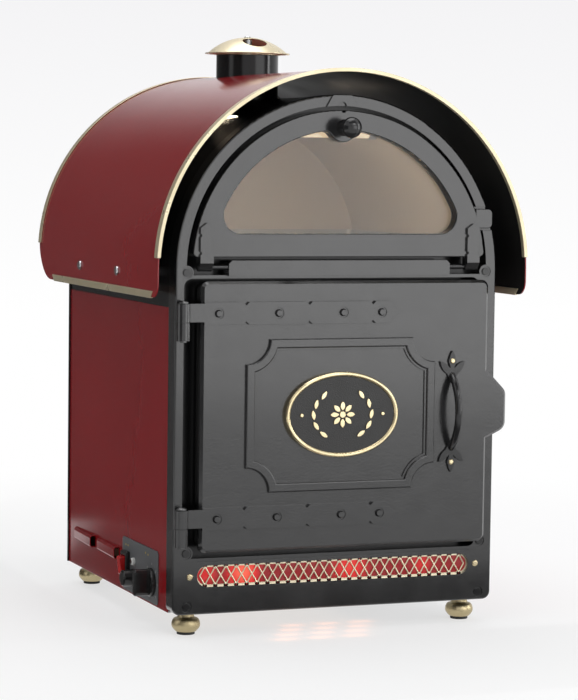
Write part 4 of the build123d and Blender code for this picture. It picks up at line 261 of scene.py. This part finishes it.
for socket, kind in (("Colour", "NodeSocketColor"), ("Roughness", "NodeSocketFloat"), ("Normal", "NodeSocketVector")):
    variation.interface.new_socket(name=socket, in_out="OUTPUT", socket_type=kind)
given = variation.nodes.new("NodeGroupInput")
result = variation.nodes.new("NodeGroupOutput")
place = variation.nodes.new("ShaderNodeTexCoord")
blotch = variation.nodes.new("ShaderNodeTexNoise")
blotch.inputs["Detail"].default_value = 4.0
grain = variation.nodes.new("ShaderNodeTexNoise")
grain.inputs["Detail"].default_value = 3.0
drift = variation.nodes.new("ShaderNodeMix")
drift.data_type = "RGBA"
sheen_range = variation.nodes.new("ShaderNodeMapRange")
sheen_range.inputs["From Min"].default_value = 0.3
sheen_range.inputs["From Max"].default_value = 0.7
rounded = variation.nodes.new("ShaderNodeBevel")
rounded.samples = 4
waves = variation.nodes.new("ShaderNodeBump")
pebbles = variation.nodes.new("ShaderNodeBump")
links = variation.links
links.new(place.outputs["Object"], blotch.inputs["Vector"])
links.new(place.outputs["Object"], grain.inputs["Vector"])
links.new(given.outputs["Blotch Scale"], blotch.inputs["Scale"])
links.new(given.outputs["Grain Scale"], grain.inputs["Scale"])
links.new(blotch.outputs["Fac"], drift.inputs["Factor"])
links.new(given.outputs["Main Colour"], drift.inputs["A"])
links.new(given.outputs["Drift Colour"], drift.inputs["B"])
links.new(blotch.outputs["Fac"], sheen_range.inputs["Value"])
links.new(given.outputs["Least Roughness"], sheen_range.inputs["To Min"])
links.new(given.outputs["Most Roughness"], sheen_range.inputs["To Max"])
links.new(given.outputs["Edge Radius"], rounded.inputs["Radius"])
links.new(rounded.outputs["Normal"], waves.inputs["Normal"])
links.new(blotch.outputs["Fac"], waves.inputs["Height"])
links.new(given.outputs["Wave Relief"], waves.inputs["Strength"])
links.new(given.outputs["Wave Depth"], waves.inputs["Distance"])
links.new(waves.outputs["Normal"], pebbles.inputs["Normal"])
links.new(grain.outputs["Fac"], pebbles.inputs["Height"])
links.new(given.outputs["Grain Relief"], pebbles.inputs["Strength"])
links.new(given.outputs["Grain Depth"], pebbles.inputs["Distance"])
links.new(drift.outputs["Result"], result.inputs["Colour"])
links.new(sheen_range.outputs["Result"], result.inputs["Roughness"])
links.new(pebbles.outputs["Normal"], result.inputs["Normal"])


def finish(name, main, drift_to, rough, blotches=10.0, grains=500.0, grain=(0.1, 0.0002), wave=(0.1, 0.0004), edge=0.0004, metal=0.0):
    """A material whose colour and sheen drift between two, over a grain and a slow wave, with softened edges."""
    material = bpy.data.materials.new(name)
    material.use_nodes = True
    tree = material.node_tree
    shader = tree.nodes["Principled BSDF"]
    skin = tree.nodes.new("ShaderNodeGroup")
    skin.node_tree = variation
    for socket, value in (
        ("Main Colour", (*main, 1)),
        ("Drift Colour", (*drift_to, 1)),
        ("Blotch Scale", blotches),
        ("Grain Scale", grains),
        ("Least Roughness", rough[0]),
        ("Most Roughness", rough[1]),
        ("Grain Relief", grain[0]),
        ("Grain Depth", grain[1]),
        ("Wave Relief", wave[0]),
        ("Wave Depth", wave[1]),
        ("Edge Radius", edge),
    ):
        skin.inputs[socket].default_value = value
    tree.links.new(skin.outputs["Colour"], shader.inputs["Base Color"])
    tree.links.new(skin.outputs["Roughness"], shader.inputs["Roughness"])
    tree.links.new(skin.outputs["Normal"], shader.inputs["Normal"])
    shader.inputs["Metallic"].default_value = metal
    return material


def ride_and_replace(piece, node):
    """Makes a piece stand for a CAD node, riding on the same body."""
    bpy.context.scene.collection.objects.link(piece)
    body = next(b for b, members in frame["record"]["behaviour"]["bodies"].items() if node in members)
    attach(piece, body)
    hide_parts(node)


def dress(node, material, edge=0.0004, sharp=28.0):
    """Stands in for a CAD node with the same solid, its sharp edges rounded off."""
    bm = bmesh.new()
    bm.from_mesh(frame["nodes"][node].data)
    bmesh.ops.remove_doubles(bm, verts=bm.verts, dist=0.000002)
    bmesh.ops.dissolve_limit(bm, angle_limit=radians(0.5), verts=bm.verts, edges=bm.edges)
    corners = [e for e in bm.edges if e.is_manifold and e.calc_face_angle(0) > radians(sharp)]
    bmesh.ops.bevel(
        bm, geom=corners, offset=edge, segments=2, profile=0.5, affect="EDGES", material=-1, clamp_overlap=True
    )
    for face in bm.faces:
        face.smooth = True
    mesh = bpy.data.meshes.new(node + "_dressed")
    bm.to_mesh(mesh)
    bm.free()
    mesh.materials.append(material)
    piece = bpy.data.objects.new(node + "_dressed", mesh)
    normals = piece.modifiers.new("even normals", "WEIGHTED_NORMAL")
    normals.keep_sharp = True
    ride_and_replace(piece, node)
    return piece


def coat_node(node, material):
    """Gives a CAD node its material."""
    frame["nodes"][node].data.materials.clear()
    frame["nodes"][node].data.materials.append(material)


# ---------------------------------------------------------------- base, feet and fixings
# A plated steel tray carries the oven on four turned brass ball feet with rubber pads.
plated_steel = finish(
    "plated_steel", (0.50, 0.51, 0.52), (0.40, 0.41, 0.42), (0.28, 0.42), blotches=22.0, grains=900.0, metal=1.0
)
for plain in ("base_pan", "rear_brackets", "hood_spacers", "rack_runners", "chimney_spider", "glow_lamp_holders"):
    coat_node(plain, plated_steel)
bright_steel = finish(
    "bright_steel", (0.62, 0.62, 0.63), (0.52, 0.52, 0.53), (0.12, 0.24), blotches=60.0, grain=(0.05, 0.0002), metal=1.0
)
for plain in ("rear_screws", "hood_screws", "glass_retainer"):
    dress(plain, bright_steel, edge=0.0003)
satin_brass = finish(
    "satin_brass", (0.58, 0.49, 0.30), (0.46, 0.38, 0.22), (0.30, 0.42), blotches=40.0, grains=1400.0,
    grain=(0.12, 0.0001), metal=1.0
)
dress("feet", satin_brass, edge=0.0003)
rubber = finish("rubber", (0.018, 0.018, 0.018), (0.03, 0.03, 0.03), (0.7, 0.85), grain=(0.4, 0.0003))
dress("foot_pads", rubber)
coat_node("oven_door_seal", rubber)

# ---------------------------------------------------------------- casing sheets
# Side sheets are folded steel, stove-enamelled deep red; the barrel, back and flue are enamelled black.
# Enamel lies a little wavy on the sheet, like the skin of an orange.
red_enamel = finish(
    "red_enamel", (0.27, 0.009, 0.012), (0.20, 0.006, 0.009), (0.11, 0.18), blotches=4.0, grains=160.0,
    grain=(0.06, 0.0002), wave=(0.05, 0.003), edge=0.0006
)
# The same black is also laid on the oven door pan and on the liners' front faces as painted shade in the gaps round the
# doors.
black_enamel_and_painted_shade = finish(
    "black_enamel_and_painted_shade", (0.008, 0.008, 0.009), (0.013, 0.013, 0.013), (0.14, 0.22), blotches=6.0, grains=180.0,
    grain=(0.08, 0.0002), wave=(0.10, 0.003), edge=0.0006
)
black_enamel_and_painted_shade.node_tree.nodes["Principled BSDF"].inputs["Specular IOR Level"].default_value = 0.35
dress("left_side_panel", red_enamel)
dress("right_side_panel", red_enamel)
dress("barrel_top", black_enamel_and_painted_shade)
dress("rear_panel", black_enamel_and_painted_shade)

# ---------------------------------------------------------------- hood and its trims
# One rolled sheet overhangs the casing, red outside and black beneath; brass strips edge it all round.
axis_height = 0.443
hood = dress("hood", red_enamel)
underside_black = finish(
    "underside_black", (0.008, 0.008, 0.008), (0.014, 0.013, 0.012), (0.38, 0.50), blotches=6.0, grains=180.0
)
underside_black.node_tree.nodes["Principled BSDF"].inputs["Specular IOR Level"].default_value = 0.05
hood.data.materials.append(underside_black)
for face in hood.data.polygons:
    outward = Vector((face.center.x, 0, max(face.center.z - axis_height, 0))).normalized()
    if face.normal.dot(outward) < -0.3:
        face.material_index = 1
pale_brass = finish(
    "pale_brass", (0.74, 0.66, 0.46), (0.62, 0.53, 0.35), (0.26, 0.36), blotches=25.0, grains=900.0,
    grain=(0.06, 0.0001), metal=0.6
)
for trim in ("hood_front_trim", "hood_rear_trim", "hood_side_trims"):
    dress(trim, pale_brass)

# ---------------------------------------------------------------- chimney
# A black flue tube with a spun brass cap, held on a steel spider over a turning brass shutter.
dress("chimney_tube", black_enamel_and_painted_shade)
for spun in ("chimney_cap", "chimney_shutter"):
    dress(spun, pale_brass, edge=0.0003)
dress("cable_gland", satin_brass)

# ---------------------------------------------------------------- front casting and doors
# Sand-cast iron, dressed and painted satin black: a pebbled skin under paint that softens every edge.
casting = finish(
    "black_casting", (0.011, 0.011, 0.0115), (0.018, 0.018, 0.0185), (0.15, 0.24), blotches=38.0, grains=420.0,
    grain=(0.34, 0.0004), wave=(0.14, 0.0016), edge=0.0006
)
casting.node_tree.nodes["Principled BSDF"].inputs["Coat Weight"].default_value = 0.6
casting.node_tree.nodes["Principled BSDF"].inputs["Coat Roughness"].default_value = 0.12
for cast in ("front_plate", "oven_door", "display_door"):
    coat_node(cast, casting)
smooth_casting = finish(
    "smooth_casting", (0.009, 0.009, 0.010), (0.016, 0.016, 0.016), (0.14, 0.22), blotches=60.0, grains=500.0,
    grain=(0.16, 0.0003), wave=(0.16, 0.0008), edge=0.0005
)
for cast in ("door_handle", "display_knob", "front_plate_bolts", "display_hinge_pins"):
    dress(cast, smooth_casting, edge=0.0003)
dark_steel = finish(
    "dark_steel", (0.20, 0.20, 0.20), (0.12, 0.12, 0.12), (0.28, 0.40), blotches=80.0, grains=900.0, metal=1.0
)
dress("oven_door_hinge_pins", dark_steel, edge=0.0003)

# ---------------------------------------------------------------- badge
# An oval plate cast with a raised brass rim, flower and leaves over a pebbled black field.
badge_black = finish(
    "badge_black", (0.012, 0.012, 0.012), (0.022, 0.021, 0.020), (0.30, 0.45), blotches=90.0, grains=620.0,
    grain=(0.85, 0.0006), wave=(0.2, 0.0006)
)
dress("badge_field", badge_black)
badge_brass = finish(
    "badge_brass", (0.84, 0.73, 0.48), (0.70, 0.57, 0.33), (0.16, 0.30), blotches=70.0, grains=900.0,
    grain=(0.12, 0.0002), edge=0.0012, metal=1.0
)
for raised in ("badge_trim", "badge_rivets", "grille_screws", "handle_screws"):
    dress(raised, badge_brass, edge=0.0003)


def turn_to_front(bm, verts, x, y, z):
    """Turns flat work made on the floor to face the front and sets it in its place."""
    bmesh.ops.rotate(bm, verts=verts, cent=(0, 0, 0), matrix=Matrix.Rotation(radians(90), 3, "X"))
    bmesh.ops.translate(bm, verts=verts, vec=(x, y, z))


badge_x, badge_z, rim_half_length, rim_half_height, rim_thick = 0.0, 0.2665, 0.0706, 0.0491, 0.0056
bm = bmesh.new()
section = bmesh.ops.create_circle(bm, segments=14, radius=rim_thick / 2)
bmesh.ops.rotate(bm, verts=bm.verts, cent=(0, 0, 0), matrix=Matrix.Rotation(radians(90), 3, "X"))
bmesh.ops.translate(bm, verts=bm.verts, vec=(rim_half_length, 0, 0))
bmesh.ops.spin(
    bm, geom=bm.verts[:] + bm.edges[:], cent=(0, 0, 0), axis=(0, 0, 1), angle=radians(360), steps=120, use_merge=True
)
bmesh.ops.remove_doubles(bm, verts=bm.verts, dist=0.000002)
for vert in bm.verts:
    around = Vector((vert.co.x, vert.co.y, 0)).normalized()
    vert.co += Vector((0, around.y * (rim_half_height - rim_half_length), 0))
turn_to_front(bm, bm.verts, badge_x, -0.2367, badge_z)
bmesh.ops.recalc_face_normals(bm, faces=bm.faces)
for face in bm.faces:
    face.smooth = True
rim_mesh = bpy.data.meshes.new("badge_rim")
bm.to_mesh(rim_mesh)
bm.free()
rim_mesh.materials.append(badge_brass)
rim = bpy.data.objects.new("badge_rim", rim_mesh)
bpy.context.scene.collection.objects.link(rim)
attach(rim, "oven_door")

# ---------------------------------------------------------------- grille and its red lamp
# A pierced brass fret in front of a red glass strip, which a lamp behind lights unevenly; that uneven light is painted
# on the strip as glowing spots, a painted glow.
fret_brass = finish(
    "fret_brass", (0.92, 0.84, 0.64), (0.82, 0.72, 0.50), (0.30, 0.42), blotches=90.0, grains=900.0, edge=0.0001, metal=1.0
)
fret_height, fret_reach, cell_count, fret_y = 0.074, 0.1745, 26, -0.2178
cell = 2 * fret_reach / cell_count


def wire_mesh(points, thickness, closed=False):
    """A round wire along a smooth line near the points, as a mesh."""
    line = bpy.data.curves.new("wire", "CURVE")
    line.dimensions = "3D"
    line.bevel_depth = thickness / 2
    line.bevel_resolution = 2
    line.resolution_u = 4
    run = line.splines.new("NURBS")
    run.points.add(len(points) - 1)
    for point, spot in zip(run.points, points):
        point.co = (*spot, 1)
    run.order_u = 3
    run.use_endpoint_u = not closed
    run.use_cyclic_u = closed
    bent = bpy.data.objects.new("wire", line)
    bpy.context.scene.collection.objects.link(bent)
    mesh = bpy.data.meshes.new_from_object(bent.evaluated_get(bpy.context.evaluated_depsgraph_get()))
    bpy.data.objects.remove(bent)
    return mesh


bm = bmesh.new()
for side in (-1, 1):
    points = [(-fret_reach, fret_y, fret_height)]
    for step in range(cell_count):
        start = -fret_reach + step * cell
        way = side * (1 if step % 2 else -1)
        for across, up in ((0.28, 0.0060), (0.5, 0.0122), (0.72, 0.0060), (1.0, 0.0)):
            points.append((start + across * cell, fret_y, fret_height + way * up))
    bm.from_mesh(wire_mesh(points, 0.0022))
for face in bm.faces:
    face.smooth = True
rims = []
for radius, shift in ((0.0152, 0.1805), (0.0107, 0.1668)):
    ring = bmesh.ops.create_circle(bm, segments=48, radius=radius)["verts"]
    for vert in ring:
        vert.co.x += shift if vert.co.x > 0 else -shift
    rims += ring
rim_edges = {e for v in rims for e in v.link_edges}
band = bmesh.ops.bridge_loops(bm, edges=list(rim_edges))["faces"]
bmesh.ops.recalc_face_normals(bm, faces=band)
front = bmesh.ops.extrude_face_region(bm, geom=band)["geom"]
bmesh.ops.translate(bm, verts=[v for v in front if isinstance(v, bmesh.types.BMVert)], vec=(0, 0, 0.0016))
turn_to_front(bm, list({v for v in rims} | {v for v in front if isinstance(v, bmesh.types.BMVert)}), 0, -0.2168, fret_height)
holes = []
for step in range(cell_count):
    for way in (-1, 1):
        middle = (-fret_reach + (step + 0.5) * cell, -0.2177, fret_height + way * 0.0114)
        gusset = bmesh.ops.create_cone(
            bm, cap_ends=True, segments=12, radius1=0.0034, radius2=0.0030, depth=0.0014
        )["verts"]
        turn_to_front(bm, gusset, *middle)
        hole = bmesh.ops.create_cone(bm, cap_ends=True, segments=8, radius1=0.0008, radius2=0.0007, depth=0.0003)["verts"]
        turn_to_front(bm, hole, middle[0], -0.2184, middle[2] + way * 0.0004)
        holes += [f for v in hole for f in v.link_faces]
for face in holes:
    face.material_index = 1
fret_mesh = bpy.data.meshes.new("fret")
bm.to_mesh(fret_mesh)
bm.free()
fret_mesh.materials.append(fret_brass)
fret = bpy.data.objects.new("fret", fret_mesh)
ride_and_replace(fret, "fret_grille")
lens = finish("red_lens", (0.26, 0.006, 0.008), (0.16, 0.004, 0.006), (0.12, 0.2), blotches=60.0, wave=(0.4, 0.001))
# The lens's glow is painted light: the whole strip glows a little and four spots glow brighter, standing in for the
# lamp's light through the red glass.
tree = lens.node_tree
spot_place = tree.nodes.new("ShaderNodeTexCoord")
painted_glow_sum = None
for spot_x, spread, power in ((-0.118, 0.030, 1.0), (0.022, 0.034, 0.55), (0.118, 0.020, 0.35), (-0.165, 0.02, 0.4)):
    gap = tree.nodes.new("ShaderNodeVectorMath")
    gap.operation = "DISTANCE"
    gap.inputs[1].default_value = (spot_x, -0.215, 0.076)
    tree.links.new(spot_place.outputs["Object"], gap.inputs[0])
    fade = tree.nodes.new("ShaderNodeMapRange")
    fade.interpolation_type = "SMOOTHSTEP"
    fade.inputs["From Max"].default_value = spread
    fade.inputs["To Min"].default_value = power
    fade.inputs["To Max"].default_value = 0.0
    tree.links.new(gap.outputs["Value"], fade.inputs["Value"])
    if painted_glow_sum is None:
        painted_glow_sum = fade.outputs["Result"]
    else:
        add = tree.nodes.new("ShaderNodeMath")
        tree.links.new(painted_glow_sum, add.inputs[0])
        tree.links.new(fade.outputs["Result"], add.inputs[1])
        painted_glow_sum = add.outputs[0]
painted_glow_tone = tree.nodes.new("ShaderNodeValToRGB")
painted_glow_tone.color_ramp.elements[0].color = (0.14, 0.010, 0.012, 1)
painted_glow_tone.color_ramp.elements[1].color = (0.95, 0.16, 0.09, 1)
middle = painted_glow_tone.color_ramp.elements.new(0.45)
middle.color = (0.62, 0.022, 0.020, 1)
tree.links.new(painted_glow_sum, painted_glow_tone.inputs["Fac"])
tree.links.new(painted_glow_tone.outputs["Color"], tree.nodes["Principled BSDF"].inputs["Emission Color"])
tree.nodes["Principled BSDF"].inputs["Emission Strength"].default_value = 0.9
coat_node("red_lens", lens)
# The small hole discs in the gussets take the lens finish, so they show its painted glow too.
fret_mesh.materials.append(lens)
glow = finish("lamp_glass", (0.8, 0.7, 0.55), (0.75, 0.62, 0.46), (0.3, 0.4))
glow.node_tree.nodes["Principled BSDF"].inputs["Emission Color"].default_value = (1.0, 0.76, 0.50, 1)
glow.node_tree.nodes["Principled BSDF"].inputs["Emission Strength"].default_value = 0.5
coat_node("glow_lamp", glow)

# ---------------------------------------------------------------- oven and display inside
# Folded stainless liners; the display is lit by a tube lamp and closed by clear glass.
liner_steel = finish(
    "liner_steel", (0.55, 0.53, 0.50), (0.44, 0.42, 0.39), (0.3, 0.45), blotches=9.0, grains=600.0, metal=1.0
)
for plain in ("display_tray", "display_lamp_holders"):
    coat_node(plain, liner_steel)
# The door pan behind the door casting is painted black: painted shade in the gap round the door.
coat_node("oven_door_pan", black_enamel_and_painted_shade)
warm_lining = finish(
    "warm_lining", (0.66, 0.58, 0.48), (0.58, 0.50, 0.41), (0.42, 0.55), blotches=7.0, grains=600.0, grain=(0.02, 0.0001), wave=(0.05, 0.001), metal=0.2
)
for lining, sheet_steel in (("oven_liner", liner_steel), ("display_lining", warm_lining)):
    piece = dress(lining, sheet_steel, edge=0.0002)
    # Their faces at the front, seen through the gaps round the doors, are painted black: painted shade in those gaps.
    piece.data.materials.append(black_enamel_and_painted_shade)
    for face in piece.data.polygons:
        if face.center.y < -0.190:
            face.material_index = 1
for wire in ("wire_rack_lower", "wire_rack_upper"):
    coat_node(wire, bright_steel)
sheath = finish("element_sheath", (0.12, 0.11, 0.10), (0.2, 0.17, 0.14), (0.45, 0.6))
coat_node("oven_elements", sheath)
blanket = finish("mineral_blanket", (0.55, 0.5, 0.36), (0.4, 0.36, 0.25), (0.9, 1.0), grain=(0.8, 0.002))
coat_node("insulation", blanket)
glass = finish("door_glass", (0.96, 0.97, 0.95), (0.94, 0.95, 0.93), (0.0, 0.02), grain=(0.0, 0.0001), wave=(0.0, 0.0001))
glass.node_tree.nodes["Principled BSDF"].inputs["Transmission Weight"].default_value = 1.0
coat_node("display_glass", glass)
coat_node("display_lamp", glow)
soft_lamp("display_glow", (0.0, -0.03, 0.630), (0.0, -0.02, 0.40), 0.20, 0.20, 8.0, (1, 0.79, 0.58))
ferrite = finish("ferrite", (0.03, 0.03, 0.03), (0.05, 0.05, 0.05), (0.5, 0.6))
coat_node("display_magnet", ferrite)

# ---------------------------------------------------------------- controls
# A grey plate on the left side carries two dials, a lit rocker switch and a pilot lamp.
grey_plate = finish("grey_plate", (0.115, 0.12, 0.125), (0.095, 0.10, 0.105), (0.35, 0.45), grains=1200.0)
dress("control_plate", grey_plate)
black_plastic = finish(
    "black_plastic", (0.010, 0.010, 0.010), (0.014, 0.014, 0.014), (0.14, 0.24), blotches=60.0, grains=900.0, edge=0.0008
)
for moulded in ("thermostat_knob", "timer_knob", "switch_bezel"):
    dress(moulded, black_plastic)
for plain in ("thermostat_body", "timer_body"):
    coat_node(plain, black_plastic)
plate_face = -0.2097
print_white = finish("print_white", (0.75, 0.75, 0.72), (0.62, 0.62, 0.58), (0.45, 0.55), blotches=300.0)
print_yellow = finish("print_yellow", (0.62, 0.48, 0.10), (0.52, 0.40, 0.08), (0.45, 0.55), blotches=300.0)


def turn_to_left(bm, verts, y, z, lift=0.00012):
    """Turns flat work made on the floor to face the left side and sets it on the control plate."""
    bmesh.ops.rotate(bm, verts=verts, cent=(0, 0, 0), matrix=Matrix.Rotation(radians(90), 3, "Z"))
    bmesh.ops.rotate(bm, verts=verts, cent=(0, 0, 0), matrix=Matrix.Rotation(radians(-90), 3, "Y"))
    bmesh.ops.translate(bm, verts=verts, vec=(plate_face - lift, y, z))


def printed(name, bm, material):
    """A thin printed mark of the control plate."""
    mesh = bpy.data.meshes.new(name)
    bm.to_mesh(mesh)
    bm.free()
    mesh.materials.append(material)
    mark = bpy.data.objects.new(name, mesh)
    bpy.context.scene.collection.objects.link(mark)
    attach(mark, "casing")


def numeral(bm, text, size, y, z):
    """A printed figure set upright on the plate, its middle at y and z."""
    letters = bpy.data.curves.new("numeral", "FONT")
    letters.body = text
    letters.size = size
    letters.extrude = 0.00006
    letters.align_x = "CENTER"
    letters.align_y = "CENTER"
    written = bpy.data.objects.new("numeral", letters)
    bpy.context.scene.collection.objects.link(written)
    shape = bpy.data.meshes.new_from_object(written.evaluated_get(bpy.context.evaluated_depsgraph_get()))
    bpy.data.objects.remove(written)
    known = set(bm.verts)
    bm.from_mesh(shape)
    turn_to_left(bm, [v for v in bm.verts if v not in known], y, z)


white_marks, yellow_marks = bmesh.new(), bmesh.new()
for dial_y, dial_z, ring, figures in (
    (-0.14225, 0.0565, 0.0212, ("0", "1", "2", "3", "4", "5", "6")),
    (-0.07225, 0.0510, 0.0142, ("0", "15", "30", "45", "60")),
):
    for step in range(4 * (len(figures) - 1) + 1):
        turned = radians(-135 + 270 * step / (4 * (len(figures) - 1)))
        long_mark = step % 4 == 0
        tick = bmesh.ops.create_cube(white_marks, size=1.0)["verts"]
        bmesh.ops.scale(white_marks, verts=tick, vec=(0.00035, 0.0020 if long_mark else 0.0011, 0.00012))
        bmesh.ops.translate(white_marks, verts=tick, vec=(0, ring - 0.0022, 0))
        bmesh.ops.rotate(white_marks, verts=tick, cent=(0, 0, 0), matrix=Matrix.Rotation(-turned, 3, "Z"))
        turn_to_left(white_marks, tick, dial_y, dial_z)
        if long_mark:
            aside, above = sin(turned) * (ring + 0.0014), cos(turned) * (ring + 0.0014)
            numeral(white_marks, figures[step // 4], 0.0036, dial_y - aside, dial_z + above)
for spot_y, spot_z in ((-0.1275, 0.088), (-0.1175, 0.089), (-0.0475, 0.088), (-0.0385, 0.088)):
    dot = bmesh.ops.create_cone(yellow_marks, cap_ends=True, segments=20, radius1=0.0014, radius2=0.0013, depth=0.00016)
    turn_to_left(yellow_marks, dot["verts"], spot_y, spot_z)
printed("white_marks", white_marks, print_white)
printed("yellow_marks", yellow_marks, print_yellow)
rocker_red = finish("rocker_red", (0.50, 0.015, 0.015), (0.42, 0.010, 0.010), (0.06, 0.12), blotches=90.0, edge=0.0008)
dress("switch_rocker", rocker_red)
smoked_lens = finish("smoked_lens", (0.020, 0.012, 0.010), (0.035, 0.015, 0.010), (0.05, 0.10), blotches=200.0)
white_ring = finish("white_ring", (0.72, 0.72, 0.70), (0.62, 0.62, 0.60), (0.25, 0.35), blotches=200.0)
pilot = dress("indicator_lamp", smoked_lens)
pilot.data.materials.append(white_ring)
pilot_middle = Vector((0, -0.07325, 0.0715))
for face in pilot.data.polygons:
    if (Vector((0, face.center.y, face.center.z)) - pilot_middle).length > 0.0033:
        face.material_index = 1
